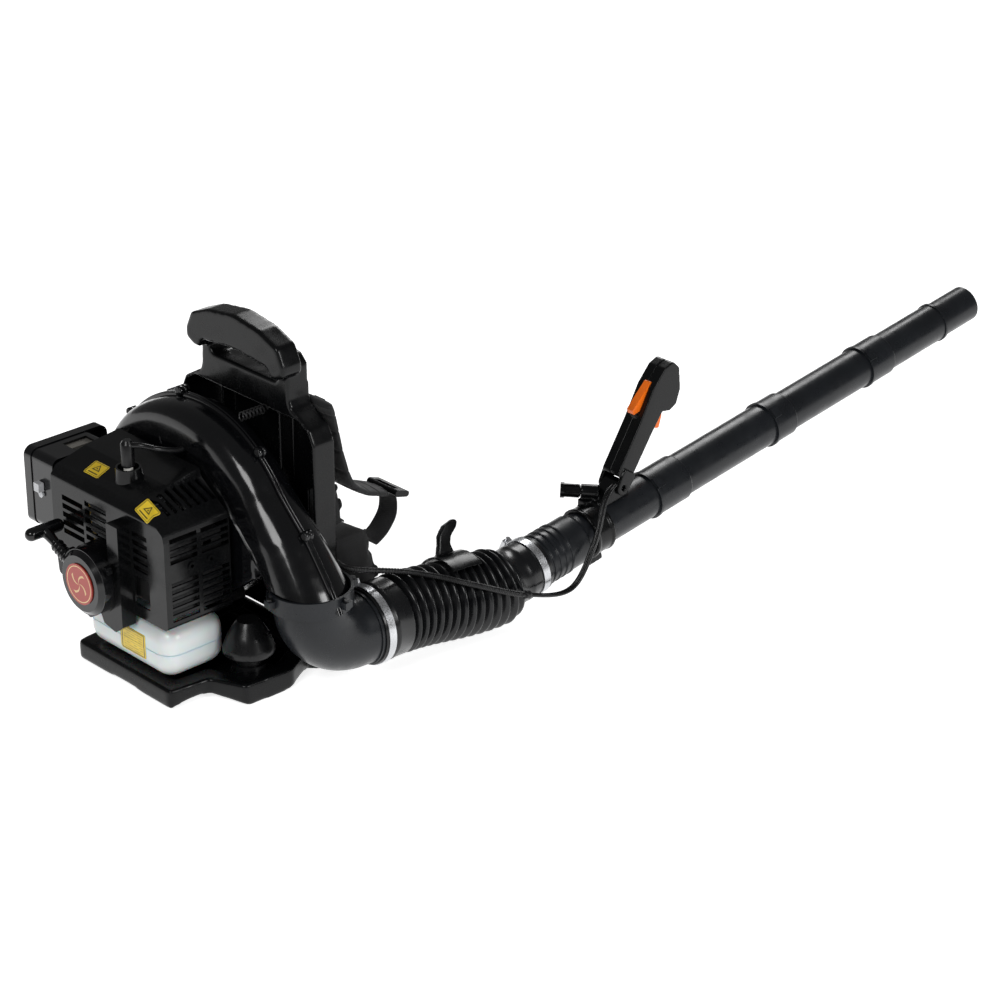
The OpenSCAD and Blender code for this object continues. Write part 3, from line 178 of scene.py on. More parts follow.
def woven(name, base, pitch=0.0016, sheen=0.35, depth=0.5):
    """Plain weave from two crossed sets of threads, with fuzz and uneven dye, its dips painted darker as painted
    shade.
    """
    g = Graph(name)
    x, y, z = g.axes(g.coord)
    up = g.math("ADD", z, g.math("MULTIPLY", y, 0.35))
    threads = g.math("ADD", g.math("MULTIPLY", g.wave(x, pitch), g.wave(up, pitch)), 1.0)
    fuzz = g.noise(2600.0, 2.0)
    height = g.math("ADD", g.math("MULTIPLY", threads, 0.5), g.math("MULTIPLY", fuzz, 0.5))
    cloud = g.ramp(g.noise(30.0, 4.0), 0.3, 0.7)
    tone = g.mix(cloud, shade(base, 0.75), shade(base, 1.25))
    # painted shade: the colour falls to half the base where the threads and the fuzz dip low
    g.set(Base_Color=g.mix(g.ramp(height, 0.3, 1.2), shade(base, 0.5), tone), Roughness=0.86,
          Sheen_Weight=sheen, Sheen_Roughness=0.5)
    g.bump(height, depth, 0.0005)
    return g.mat


def webbing_mat(name, base, rib_pitch=0.0022, twill_pitch=0.003):
    """Woven tape: ribs along its length with a shallow twill across them, painted dark in the grooves as painted
    shade and pale on the crests as painted highlight.
    """
    g = Graph(name)
    x, _, z = g.axes(g.coord)
    twill = g.wave(g.math("ADD", x, z), twill_pitch)
    height = g.math("ADD", g.wave(x, rib_pitch), g.math("MULTIPLY", twill, 0.4))
    # painted shade in the grooves and painted highlight on the crests: the colour runs from half to one and a half
    # times the base with the height
    g.set(Base_Color=g.mix(g.ramp(height, -1.2, 1.2), shade(base, 0.5), shade(base, 1.5)),
          Roughness=0.7, Sheen_Weight=0.1)
    g.bump(height, 0.5, 0.0004)
    return g.mat


def translucent(name, base):
    """Blown tank polymer that light sinks into."""
    g = Graph(name)
    cloud = g.ramp(g.noise(9.0, 2.0), 0.3, 0.7)
    g.set(Base_Color=g.mix(cloud, shade(base, 0.93), base), Roughness=0.32, Subsurface_Weight=0.5,
          Subsurface_Scale=0.02, Coat_Weight=0.15)
    g.bump(g.noise(700.0), 0.04, 0.0004)
    return g.mat


def badge(name, base, centre, radius):
    """Printed disc with a pale rim line and a plain pinwheel in place of any mark."""
    line_at, line_half, blade_reach, blade_count, blade_sweep = 0.88, 0.0006, 0.62, 4.0, 230.0
    g = Graph(name)
    rel = g.add("ShaderNodeVectorMath", operation="SUBTRACT")
    g.link(g.coord, rel.inputs[0])
    rel.inputs[1].default_value = centre
    flat = g.add("ShaderNodeVectorMath", operation="MULTIPLY")
    g.link(rel.outputs[0], flat.inputs[0])
    flat.inputs[1].default_value = (1, 0, 1)
    dist = g.add("ShaderNodeVectorMath", operation="LENGTH")
    g.link(flat.outputs[0], dist.inputs[0])
    d = dist.outputs["Value"]
    line = g.math("LESS_THAN", g.math("ABSOLUTE", g.math("SUBTRACT", d, radius * line_at)), line_half)
    x, _, z = g.axes(flat.outputs[0])
    turn = g.math("MULTIPLY", g.math("ARCTAN2", z, x), blade_count)
    swirl = g.math("SINE", g.math("ADD", turn, g.math("MULTIPLY", d, blade_sweep)))
    blades = g.math("MULTIPLY", g.math("GREATER_THAN", swirl, 0.86),
                    g.math("LESS_THAN", d, radius * blade_reach))
    mark = g.math("MAXIMUM", line, g.math("MULTIPLY", blades, 0.8))
    cloud = g.ramp(g.noise(60.0), 0.3, 0.7)
    red = g.mix(cloud, shade(base, 0.9), base)
    g.set(Base_Color=g.mix(mark, red, (0.75, 0.55, 0.25)), Roughness=0.35, Coat_Weight=0.3)
    g.bump(g.noise(900.0), 0.05, 0.0002)
    return g.mat


engine_axis = Vector(joints["crank_spin"]["pos_m"])
badge_lo, badge_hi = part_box("starter_badge")
BLACK_SHELL = (0.0020, 0.0022, 0.0025)
MATS = {
    "frame_black": moulded("frame_black", BLACK_SHELL, 0.24, 2200.0, 0.03, 0.25, 1.8, 0.05, 0.2),
    "cover_black": moulded("cover_black", BLACK_SHELL, 0.19, 2600.0, 0.025, 0.3, 1.9, 0.15, 0.2),
    "case_black": moulded("case_black", (0.0022, 0.0024, 0.003), 0.17, 500.0, 0.02, 0.25, 1.6, 0.35),
    "tube_grey": moulded("tube_grey", (0.0085, 0.0098, 0.012), 0.3, 2000.0, 0.04, 0.3, 1.6),
    "hose_black": moulded("hose_black", (0.0035, 0.0038, 0.0045), 0.25, 1500.0, 0.03, 0.3, 1.7, 0.1),
    "rubber_black": moulded("rubber_black", (0.004, 0.0041, 0.0045), 0.3, 1500.0, 0.05, 0.3, 1.7, 0.05),
    "pad_fabric": woven("pad_fabric", (0.008, 0.008, 0.0088), sheen=0.12),
    "web_fabric": webbing_mat("web_fabric", (0.007, 0.007, 0.0078)),
    "zinc_steel": metal("zinc_steel", (0.66, 0.67, 0.69), 0.3, 600.0),
    "dark_steel": metal("dark_steel", (0.035, 0.035, 0.036), 0.38, 800.0, 0.7, 0.1),
    "cast_alloy": metal("cast_alloy", (0.26, 0.27, 0.28), 0.45, 1200.0, 0.9, 0.25),
    "impeller_black": moulded("impeller_black", (0.01, 0.01, 0.01), 0.45),
    "ceramic_white": moulded("ceramic_white", (0.86, 0.85, 0.8), 0.2, 300.0, 0.02, 0.1, 1.0, 0.4),
    "orange_plastic": moulded("orange_plastic", (0.86, 0.16, 0.008), 0.35, 1100.0, 0.06, 0.2, 1.1, 0.2),
    "badge_red": badge("badge_red", (0.38, 0.022, 0.008), tuple((badge_lo + badge_hi) / 2),
                       (badge_hi.x - badge_lo.x) / 2),
    "tank_white": translucent("tank_white", (0.7, 0.745, 0.745)),
    "lever_grey": moulded("lever_grey", (0.6, 0.61, 0.63), 0.35, 900.0, 0.06, 0.2, 1.1),
    "filter_foam": woven("filter_foam", (0.16, 0.15, 0.13), 0.003, 0.1, 0.8),
    "primer_red": moulded("primer_red", (0.45, 0.06, 0.04), 0.25, 600.0, 0.03, 0.1, 1.2, 0.4),
    "line_amber": moulded("line_amber", (0.42, 0.3, 0.1), 0.25, 600.0, 0.03, 0.1, 1.2, 0.3),
    "label_yellow": moulded("label_yellow", (0.78, 0.56, 0.02), 0.4, 900.0, 0.04, 0.15, 1.1, 0.2),
}
SLOT_OF = {s["node"]: s["material_slot"] for s in frame["record"]["subparts"]}


def paint(obj, slot_name):
    obj.data.materials.clear()
    obj.data.materials.append(MATS[slot_name])


# ---------------------------------------------------------------- mesh tools


def all_smooth(me):
    me.polygons.foreach_set("use_smooth", [True] * len(me.polygons))


def linked(name, me):
    """An object in the scene that holds the mesh."""
    ob = bpy.data.objects.new(name, me)
    bpy.context.scene.collection.objects.link(ob)
    return ob


def new_object(name, verts, faces):
    me = bpy.data.meshes.new(name)
    me.from_pydata([tuple(v) for v in verts], [], faces)
    me.validate()
    all_smooth(me)
    return linked(name, me)


def from_bmesh(name, bm):
    me = bpy.data.meshes.new(name)
    bm.to_mesh(me)
    bm.free()
    all_smooth(me)
    return linked(name, me)


def settle(ob):
    """Applies the object's modifiers to its mesh."""
    bpy.context.view_layer.update()
    graph = bpy.context.evaluated_depsgraph_get()
    me = bpy.data.meshes.new_from_object(ob.evaluated_get(graph))
    ob.modifiers.clear()
    old = ob.data
    ob.data = me
    if old.users == 0:
        bpy.data.meshes.remove(old)
    all_smooth(me)
    return ob


def join(obs, name):
    """One mesh object from several, which are removed."""
    bm = bmesh.new()
    for ob in obs:
        bm.from_mesh(ob.data)
    for ob in obs:
        bpy.data.objects.remove(ob)
    return from_bmesh(name, bm)


def ring_points(centre, u, v, ru, rv, count, power=2.0):
    """Ellipse, or a squarer form of it when the power is above 2."""
    out = []
    for k in range(count):
        a = 2 * math.pi * k / count
        c, s = math.cos(a), math.sin(a)
        out.append(centre + u * (math.copysign(abs(c) ** (2 / power), c) * ru)
                   + v * (math.copysign(abs(s) ** (2 / power), s) * rv))
    return out


def loft(name, rings, closed=False):
    """Skin over rings of equal count, capped at its ends or closed on itself."""
    n = len(rings[0])
    verts = [p for ring in rings for p in ring]
    faces = []
    for i in range(len(rings) - (0 if closed else 1)):
        j = (i + 1) % len(rings)
        for k in range(n):
            m = (k + 1) % n
            faces.append((i * n + k, i * n + m, j * n + m, j * n + k))
    if not closed:
        faces.append(tuple(range(n - 1, -1, -1)))
        faces.append(tuple((len(rings) - 1) * n + k for k in range(n)))
    return new_object(name, verts, faces)


def catmull(points, steps):
    """Smooth curve through the points."""
    pts = [Vector(p) for p in points]
    out = []
    for i in range(len(pts) - 1):
        a, b = pts[max(i - 1, 0)], pts[i]
        c, d = pts[i + 1], pts[min(i + 2, len(pts) - 1)]
        for k in range(steps):
            t = k / steps
            out.append(0.5 * ((2 * b) + (c - a) * t + (2 * a - 5 * b + 4 * c - d) * t * t
                              + (3 * b - a - 3 * c + d) * t ** 3))
    out.append(pts[-1])
    return out


def frames(path):
    """Each point of the path with its tangent and two normals, without twist."""
    out = []
    t = (path[1] - path[0]).normalized()
    u = UP.cross(t).normalized()
    for i, p in enumerate(path):
        t = (path[min(i + 1, len(path) - 1)] - path[max(i - 1, 0)]).normalized()
        u = (u - t * u.dot(t)).normalized()
        out.append((p, t, u, t.cross(u)))
    return out


def sweep(name, path, radius, sides=12, offset=0.0):
    """Round line; radius is a number or a function of the share of the path."""
    rings = []
    for i, (p, _, u, v) in enumerate(frames(path)):
        r = radius(i / (len(path) - 1)) if callable(radius) else radius
        rings.append(ring_points(p + u * offset, u, v, r, r, sides))
    return loft(name, rings)


def lathe(name, profile, origin, axis, sides=64):
    """Revolves (radius, distance along the axis) pairs."""
    w = Vector(axis).normalized()
    u = w.orthogonal().normalized()
    v = w.cross(u)
    rings = []
    for r, h in profile:
        r = max(r, 1e-5)
        rings.append(ring_points(Vector(origin) + w * h, u, v, r, r, sides))
    return loft(name, rings)


def soft_box(name, lo, hi, radius, segments):
    """Block between two corners, with all its edges rounded."""
    bm = bmesh.new()
    bmesh.ops.create_cube(bm, size=1.0)
    lo, hi = Vector(lo), Vector(hi)
    for v in bm.verts:
        v.co = Vector(((lo[i] + hi[i]) / 2 + v.co[i] * (hi[i] - lo[i]) for i in range(3)))
    bmesh.ops.bevel(bm, geom=list(bm.edges), offset=radius, segments=segments, profile=0.5, affect="EDGES")
    return from_bmesh(name, bm)


def slab(name, outline, y0, y1):
    """Prism over an outline of (x, z) points, from y0 to y1."""
    n = len(outline)
    verts = [Vector((x, y, z)) for y in (y0, y1) for x, z in outline]
    faces = [tuple(range(n - 1, -1, -1)), tuple(range(n, 2 * n))]
    faces += [(k, (k + 1) % n, n + (k + 1) % n, n + k) for k in range(n)]
    ob = new_object(name, verts, faces)
    bm = bmesh.new()
    bm.from_mesh(ob.data)
    bmesh.ops.recalc_face_normals(bm, faces=bm.faces)
    bm.to_mesh(ob.data)
    bm.free()
    return ob


def remeshed(ob, voxel, rounds, keep=None):
    """The object's mesh as one even, smoothed skin; keep is the share of faces left."""
    m = ob.modifiers.new("weld", "WELD")
    m.merge_threshold = 1e-5
    m = ob.modifiers.new("remesh", "REMESH")
    m.mode, m.voxel_size = "VOXEL", voxel
    m = ob.modifiers.new("smooth", "SMOOTH")
    m.factor, m.iterations = 0.5, rounds
    if keep:
        m = ob.modifiers.new("fewer", "DECIMATE")
        m.ratio = keep
    return settle(ob)


def soften(node, name, voxel, rounds):
    """A moulded copy of a CAD node, its corners rounded by remeshing and smoothing."""
    ob = linked(name, nodes[node].data.copy())
    return crisp_shade(remeshed(ob, voxel, rounds, 0.35), 50)


def crisp_shade(ob, angle):
    """Smooth shading that breaks at edges sharper than the angle, in degrees."""
    m = ob.modifiers.new("edges", "EDGE_SPLIT")
    m.split_angle = math.radians(angle)
    m.use_edge_sharp = False
    return ob


def halves(ob, point, normal, names):
    """Cuts a closed mesh in two closed meshes at a plane."""
    out = []
    for side, name in ((1, names[0]), (-1, names[1])):
        bm = bmesh.new()
        bm.from_mesh(ob.data)
        cut = bmesh.ops.bisect_plane(bm, geom=bm.verts[:] + bm.edges[:] + bm.faces[:], plane_co=point,
                                     plane_no=Vector(normal) * side, clear_inner=True)
        edges = [e for e in cut["geom_cut"] if isinstance(e, bmesh.types.BMEdge)]
        bmesh.ops.holes_fill(bm, edges=edges)
        out.append(from_bmesh(name, bm))
    bpy.data.objects.remove(ob)
    return out


def finish_as(ob, slot_name):
    """Paints a piece."""
    paint(ob, slot_name)


def place_piece(ob, body, slot_name, *replaced):
    """Paints the piece, puts it on its body and hides the CAD nodes it stands for."""
    finish_as(ob, slot_name)
    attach(ob, body)
    if replaced:
        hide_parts(*replaced)
    return ob


# ---------------------------------------------------------------- carried-over CAD nodes

# edge rounding of the carried nodes, in mm
BEVELS = {"engine_cover": 1.3, "starter_housing": 1.6, "air_filter_base": 2.0, "air_filter_cover": 3.0,
          "choke_lever": 1.0, "carburettor": 1.0, "handle_knob": 1.0, "elbow": 0.8, "fuel_cap": 1.0,
          "strap_buckles": 1.0, "near_clamp": 0.4, "far_clamp": 0.4, "throttle_trigger": 1.2, "lock_lever": 1.2,
          "muffler": 2.0, "case_screws": 0.5, "crankcase": 1.5, "engine_cylinder": 0.5,
          "middle_tube": 0.6, "extension_tube": 0.6, "nozzle_tube": 0.6, "control_tube": 0.8,
          "mount_cups": 1.5, "mount_pedestals": 1.0, "starter_reel": 0.5, "intake_guard": 0.6}

for node_name, ob in nodes.items():
    paint(ob, SLOT_OF[node_name])
    all_smooth(ob.data)
    weld = ob.modifiers.new("weld", "WELD")
    weld.merge_threshold = 1e-5
    if node_name in BEVELS:
        m = ob.modifiers.new("bevel", "BEVEL")
        m.width, m.segments = BEVELS[node_name] * MM, 2
        m.limit_method, m.angle_limit = "ANGLE", math.radians(40)
        m.use_clamp_overlap = True
    crisp_shade(ob, 38)
    if node_name in BEVELS:
        ob.modifiers.new("weighted", "WEIGHTED_NORMAL")

# ---------------------------------------------------------------- fan case

CX, CZ = engine_axis.x, engine_axis.z
JOINT_Y = -0.085
SPIRAL_START, SPIRAL_STEP = 300, 4
THROAT = 6                       # degrees above the outlet where the rim turns straight down
OUTLET_REACH, OUTLET_Z = 0.2905, 0.156
THROAT_CORNER = (0.12, 0.17)
DISC_Y = (-0.128, -0.052)
# Each table runs down in angle, in degrees, from the start of the spiral to the outlet.
# RIM is the rim's radius, HALF_R and HALF_Y the half sizes of the duct's section and
# MID_Y its middle, all in mm; POWER is how square the section is.
RIM = [(300, 115), (258, 142), (215, 165.5), (172, 186.5), (130, 203), (96, 212.8), (70, 218.3), (45, 220.7),
       (30, 221), (24, 236), (17, 247), (9, 263), (0, 291)]
HALF_R = [(300, 22), (215, 30), (130, 38), (78, 42), (45, 46), (30, 47), (17, 50), (8, 53), (0, 56)]
HALF_Y = [(300, 38), (130, 39), (60, 40), (45, 42), (30, 46), (17, 50), (8, 53), (0, 56)]
POWER = [(300, 4.2), (130, 3.6), (78, 3.0), (45, 2.5), (17, 2.1), (0, 2.0)]
MID_Y = [(300, -90), (60, -90), (30, -87), (8, -85), (0, -85)]


def read(table, a):
    """The table's value at an angle, eased between its points, except for the rim."""
    for (a0, v0), (a1, v1) in zip(table, table[1:]):
        if a0 >= a >= a1:
            t = (a0 - a) / (a0 - a1)
            t = t * t * (3 - 2 * t) if table is not RIM else t
            return v0 + (v1 - v0) * t
    return table[-1][1] if a < table[-1][0] else table[0][1]


def rim(a):
    """Smooth rim radius in metres at an angle in degrees."""
    return sum(read(RIM, a + d) for d in (-6, -3, 0, 3, 6)) / 5 * MM


def reach(a):
    """The rim's radius with its straight run down to the outlet."""
    if a > THROAT:
        return rim(a)
    return rim(THROAT) + (OUTLET_REACH - rim(THROAT)) * (THROAT - a) / THROAT


def outward(a):
    t = math.radians(a)
    return Vector((math.cos(t), 0, math.sin(t)))


def polar(a, r, y):
    return Vector((CX, y, CZ)) + outward(a) * r


def volute():
    """The spiral duct down to its outlet, with the flat disc that fills its middle."""
    rings = []
    for i in range(76):
        a = SPIRAL_START - SPIRAL_STEP * i
        hr, hy = read(HALF_R, a) * MM, read(HALF_Y, a) * MM
        centre = polar(a, reach(a) - hr, read(MID_Y, a) * MM)
        rings.append(ring_points(centre, outward(a), Vector((0, 1, 0)), hr, hy, 32, read(POWER, a)))
    rings.append([Vector((p.x, p.y, OUTLET_Z)) for p in rings[-1]])
    tube = loft("volute", rings)
    outline = []
    for i in range(68):
        a = SPIRAL_START - SPIRAL_STEP * i
        p = polar(a, rim(a) - read(HALF_R, a) * MM, 0)
        outline.append((p.x, p.z))
    outline.append(THROAT_CORNER)
    disc = slab("disc", outline, *DISC_Y)
    return remeshed(join([tube, disc], "fan_body"), 0.003, 6)


def flange(name, y0, y1):
    """Strip of the joint flange that follows the rim, its outer corners broken."""
    inner, outer, corner = -0.006, 0.0048, 0.001
    h = (y1 - y0) / 2
    section = [(inner, -h), (outer - corner, -h), (outer, -h + corner),
               (outer, h - corner), (outer - corner, h), (inner, h)]
    rings = []
    for i in range(124):
        a = 244 - 2 * i
        base = polar(a, reach(a), (y0 + y1) / 2)
        rings.append([base + outward(a) * p + Vector((0, q, 0)) for p, q in section])
    return loft(name, rings)


front_half, rear_half = halves(volute(), Vector((0, JOINT_Y, 0)), (0, 1, 0), ("fan_front", "fan_rear"))
LUG_ANGLES = [20, 52, 98, 135, 172, 205, 222]


def lug(name, a, y0, y1):
    """Boss round a case screw, standing on the rim."""
    boss_r, corner = 0.0076, 0.0008
    profile = [(0.0, y0), (boss_r - corner, y0), (boss_r, y0 + corner),
               (boss_r, y1 - corner), (boss_r - corner, y1), (0.0, y1)]
    return lathe(name, profile, polar(a, rim(a) + 0.0065, 0), (0, 1, 0), 24)


def shell(name, half, flange_y, lug_y, extra, node):
    """One half of the case with its flange, its lugs and any ribs."""
    parts = [half, flange("flange", *flange_y)]
    parts += [lug("lug", a, *lug_y) for a in LUG_ANGLES]
    place_piece(crisp_shade(join(parts + extra, name), 55), "frame", "case_black", node)


def rear_rib(a):
    """Moulded rib that runs out over the rear shell."""
    steps, inner_r, margin, rise = 6, 0.15, 0.015, 0.012
    run = rim(a) - inner_r - margin
    line = []
    for k in range(steps + 1):
        s = k / steps
        line.append(polar(a, inner_r + run * s, DISC_Y[0] + 0.0005 + rise * s ** 3))
    return sweep("rib", line, 0.0022, 8)


shell("fan_case_back_shell", rear_half, (-0.0893, -0.0852), (-0.0925, -0.0852),
      [rear_rib(a) for a in (100, 124, 148)], "fan_case_rear")
shell("fan_case_front_shell", front_half, (-0.0848, -0.0807), (-0.0848, -0.079), [], "fan_case_front")

# ---------------------------------------------------------------- moulded structure

# node, name of its piece, body, material slot, voxel and rounds of smoothing
for node, name, body, slot_name, voxel, rounds in (
        ("back_frame", "back_frame_moulding", "frame", "frame_black", 0.0024, 5),
        ("base_foot", "base_moulding", "frame", "frame_black", 0.0024, 20),
        ("hose_hook", "hose_hook_moulding", "hose", "frame_black", 0.0014, 3),
        ("handle_clamp", "handle_clamp_moulding", "tube", "frame_black", 0.0013, 3),
        ("grip_shell_left", "grip_left_moulding", "handle", "frame_black", 0.0011, 9),
        ("grip_shell_right", "grip_right_moulding", "handle", "frame_black", 0.0011, 9),
        ("starter_grip", "starter_grip_moulding", "starter_grip", "case_black", 0.0009, 4)):
    place_piece(soften(node, name, voxel, rounds), body, slot_name, node)

# ---------------------------------------------------------------- fuel tank

TANK_ROUND = 0.026
CAP_DEPTH = 0.020
NECK_R, NECK_BACK, NECK_FRONT = 0.0145, -0.004, 0.016
SEAM_R = 0.0007

tank_lo, tank_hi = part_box("fuel_tank")
cap_lo, cap_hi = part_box("fuel_cap")
cap_mid = (cap_lo + cap_hi) / 2
wall_x = cap_lo.x + CAP_DEPTH


def tank_seam(z):
    """Parting line of the blown tank: a thin bead round its sides."""
    path = []
    for x, y, a0 in ((tank_hi.x, tank_hi.y, 0), (wall_x, tank_hi.y, 90), (wall_x, tank_lo.y, 180),
                     (tank_hi.x, tank_lo.y, 270)):
        cx = x - TANK_ROUND if x > wall_x else x + TANK_ROUND
        cy = y - TANK_ROUND if y > tank_lo.y else y + TANK_ROUND
        for k in range(7):
            t = math.radians(a0 + 15 * k)
            path.append(Vector((cx + TANK_ROUND * math.cos(t), cy + TANK_ROUND * math.sin(t), z)))
    rings = []
    for i, p in enumerate(path):
        t = (path[(i + 1) % len(path)] - path[i - 1]).normalized()
        rings.append(ring_points(p, t.cross(UP), UP, SEAM_R, SEAM_R, 8))
    return loft("seam", rings, closed=True)


tank = soft_box("tank_body", (wall_x, tank_lo.y, tank_lo.z), tank_hi, TANK_ROUND, 9)
neck = lathe("neck", [(0, NECK_BACK), (NECK_R, NECK_BACK), (NECK_R, NECK_FRONT), (0, NECK_FRONT)],
             (wall_x - 0.004, cap_mid.y, cap_mid.z), (1, 0, 0), 32)
seam = tank_seam((tank_lo.z + tank_hi.z) / 2)
tank_piece = place_piece(join([tank, neck, seam], "fuel_tank_moulding"), "frame", "tank_white", "fuel_tank")

# ---------------------------------------------------------------- bellows hose

NEAR_SHARE, FAR_SHARE = 0.35, 0.65      # where the two bends sit along the pleats
YAW = math.radians(2.5)
NEAR_CUFF, FAR_CUFF = 0.055, 0.061
PLEATS, PER_PLEAT = 14, 12
ROOT_R, CREST_R = 0.0495, 0.0578

near_bend = Vector(joints["hose_pitch"]["pos_m"])
far_bend = Vector(joints["hose_yaw"]["pos_m"])
step = (far_bend - near_bend) / (FAR_SHARE - NEAR_SHARE)
P0 = near_bend - step * NEAR_SHARE
P1 = P0 + step
D0 = Vector((math.sin(YAW), math.cos(YAW), 0))
D1 = Vector(joints["middle_twist"]["axis"]).normalized()


def hose_line(t):
    """Centre line of the pleats: a smooth curve from cuff to cuff."""
    length = step.length
    h00, h10 = 2 * t ** 3 - 3 * t ** 2 + 1, t ** 3 - 2 * t ** 2 + t
    h01, h11 = -2 * t ** 3 + 3 * t ** 2, t ** 3 - t ** 2
    return P0 * h00 + D0 * (length * h10) + P1 * h01 + D1 * (length * h11)


def pleat_radius(t):
    """Radius along the pleats, which shrink a little towards the far cuff."""
    swell = (0.5 - 0.5 * math.cos(2 * math.pi * PLEATS * t)) ** 0.7
    taper = max(0.0, (t - 0.9) / 0.1)
    root, crest = ROOT_R - 0.003 * taper, CREST_R - 0.004 * taper
    return root + (crest - ROOT_R) * swell


# (distance from the cuff's pleated end, radius)
NEAR_PROFILE = [(-NEAR_CUFF, 0.0563), (-NEAR_CUFF + 0.001, 0.0568), (-0.034, 0.0568), (-0.033, 0.0574),
                (-0.029, 0.0574), (-0.028, 0.0568), (-0.006, 0.0568), (-0.003, 0.0558), (-0.001, 0.052)]
FAR_PROFILE = [(0.001, 0.0455), (0.003, 0.0432), (0.02, 0.0428), (0.022, 0.0433), (0.026, 0.0433),
               (0.028, 0.0428), (FAR_CUFF - 0.001, 0.0428), (FAR_CUFF, 0.0422)]
pleat_steps = PLEATS * PER_PLEAT
stations = [(P0 + D0 * d, r) for d, r in NEAR_PROFILE]
stations += [(hose_line(i / pleat_steps), pleat_radius(i / pleat_steps)) for i in range(pleat_steps + 1)]
stations += [(P1 + D1 * d, r) for d, r in FAR_PROFILE]
hose_frames = frames([p for p, _ in stations])
hose_rings = [ring_points(p, u, v, r, r, 56) for (p, _, u, v), (_, r) in zip(hose_frames, stations)]
middle = len(NEAR_PROFILE) + pleat_steps // 2
near_hose = crisp_shade(loft("bellows_near", hose_rings[:middle + 1]), 60)
far_hose = crisp_shade(loft("bellows_far", hose_rings[middle:]), 60)
finish_as(near_hose, "hose_black")
finish_as(far_hose, "hose_black")
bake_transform(near_hose)
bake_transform(far_hose)
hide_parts("bellows_hose")

# ---------------------------------------------------------------- throttle cable

# waypoints in mm, from the fan case to the grip
CABLE = [(166, -20, 176), (184, -8, 168), (200, 72, 142), (230, 112, 131), (255, 151, 115), (274, 240, 74),
         (268, 335, 48), (262, 388, 100), (244, 428, 152), (234, 456, 163)]
SPAN = 60                        # curve points between two waypoints
CONDUIT_R, RIB_HEIGHT = 0.0036, 0.0008
WIRE_R, WIRE_GAP = 0.0023, 0.0026
cable_path = catmull([Vector(p) * MM for p in CABLE], SPAN)
hose_middle = 4 * SPAN
conduit_end = 5 * SPAN


def ribbed(count):
    """Radius of corrugated conduit with so many ribs."""
    return lambda t: CONDUIT_R + RIB_HEIGHT * (0.5 + 0.5 * math.cos(2 * math.pi * count * t))


def dense(path, per):
    """The path with more points between its own."""
    out = []
    for a, b in zip(path, path[1:]):
        for k in range(per):
            out.append(a.lerp(b, k / per))
    out.append(path[-1])
    return out


conduit = sweep("conduit_near", dense(cable_path[:hose_middle + 1], 3), ribbed(72))
conduit_far = sweep("conduit_far", dense(cable_path[hose_middle:conduit_end + 1], 3), ribbed(34))
collar = sweep("collar", cable_path[conduit_end - 2:conduit_end + 4], 0.0062, 14)
wires = [sweep("wire", cable_path[conduit_end - 6:], WIRE_R, 10, sign * WIRE_GAP) for sign in (-1, 1)]
far_cable = join([conduit_far, collar] + wires, "cable_far")
finish_as(conduit, "rubber_black")
finish_as(far_cable, "rubber_black")
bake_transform(conduit)
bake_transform(far_cable)
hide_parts("throttle_cable")

# ---------------------------------------------------------------- starter rope

GUIDE_OUT, ROPE_SHOWN = 0.050, 0.028
GUIDE_IN_Y = 0.0125              # the guide's axis behind the housing's face
pull = Vector(joints["starter_pull"]["axis"]).normalized()
seat = Vector((CX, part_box("starter_housing")[0].y + GUIDE_IN_Y, CZ))
rope_path = [seat + pull * (GUIDE_OUT + ROPE_SHOWN * k / 24) for k in range(25)]
place_piece(sweep("starter_rope", rope_path, 0.0019, 10), "starter_grip", "web_fabric")
GUIDE_RIB = [(0.0, 0.0), (0.0092, 0.0), (0.0098, 0.0006), (0.0098, 0.0022), (0.0092, 0.0028), (0.0, 0.0028)]
ribs = [lathe("rib", GUIDE_RIB, seat + pull * (GUIDE_OUT + 0.007 * k), pull, 32) for k in range(4)]
place_piece(join(ribs, "starter_guide_ribs"), "frame", "case_black")

# ---------------------------------------------------------------- soft goods


def cloth_pad(source, name, pressure=4.0, cap=0.007, voxel=0.005, shrink=0.004):
    """Foam pad: a copy of the CAD cushion swollen with Cloth, its movement capped."""
    ob = remeshed(linked(name, nodes[source].data.copy()), voxel, 4)
    for v in ob.data.vertices:
        v.co -= v.normal * shrink
    rest = [v.co.copy() for v in ob.data.vertices]
    cloth = ob.modifiers.new("cloth", "CLOTH")
    cloth.settings.use_pressure = True
    cloth.settings.uniform_pressure_force = pressure
    cloth.settings.effector_weights.gravity = 0
    cloth.settings.mass = 0.3
    for f in range(1, 21):
        bpy.context.scene.frame_set(f)
    settle(ob)
    bpy.context.scene.frame_set(1)
    for v, r in zip(ob.data.vertices, rest):
        d = v.co - r
        if d.length > cap:
            v.co = r + d * (cap / d.length)
    return ob


def quilt(ob, lines_z, depth=0.0028, width=0.005, front=0.45):
    """Sewn channels pressed into the front of a pad at some heights."""
    for v in ob.data.vertices:
        if v.normal.y > front:
            for z in lines_z:
                d = abs(v.co.z - z) / width
                if d < 1:
                    v.co.y -= depth * (1 - d * d) ** 2 * v.normal.y


def cushion(source, name, channels):
    """A quilted cloth pad; channels are shares of its height."""
    ob = cloth_pad(source, name)
    m = ob.modifiers.new("sub", "SUBSURF")
    m.levels = m.render_levels = 1
    settle(ob)
    lo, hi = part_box(source)
    quilt(ob, [lo.z + (hi.z - lo.z) * f for f in channels])
    place_piece(ob, "frame", "pad_fabric", source)


cushion("back_pad", "back_cushion", (0.2, 0.4, 0.6, 0.8))
cushion("lumbar_pad", "lumbar_cushion", (0.33, 0.66))

# side views of the strap and its webbing, as (y, z) in mm
STRAP = [(8, 392), (13, 378), (20, 346), (29, 306), (45, 262), (70, 240), (95, 229), (115, 221)]
WEB = [(132, 214), (135, 198), (132, 178), (117, 159), (101, 149), (95, 147)]
STRAP_X = 0.099
STRAP_HALF_W, STRAP_HALF_T = 0.031, 0.0054
CHANNELS = 9


def side_line(points, steps):
    return catmull([Vector((0, y * MM, z * MM)) for y, z in points], steps)


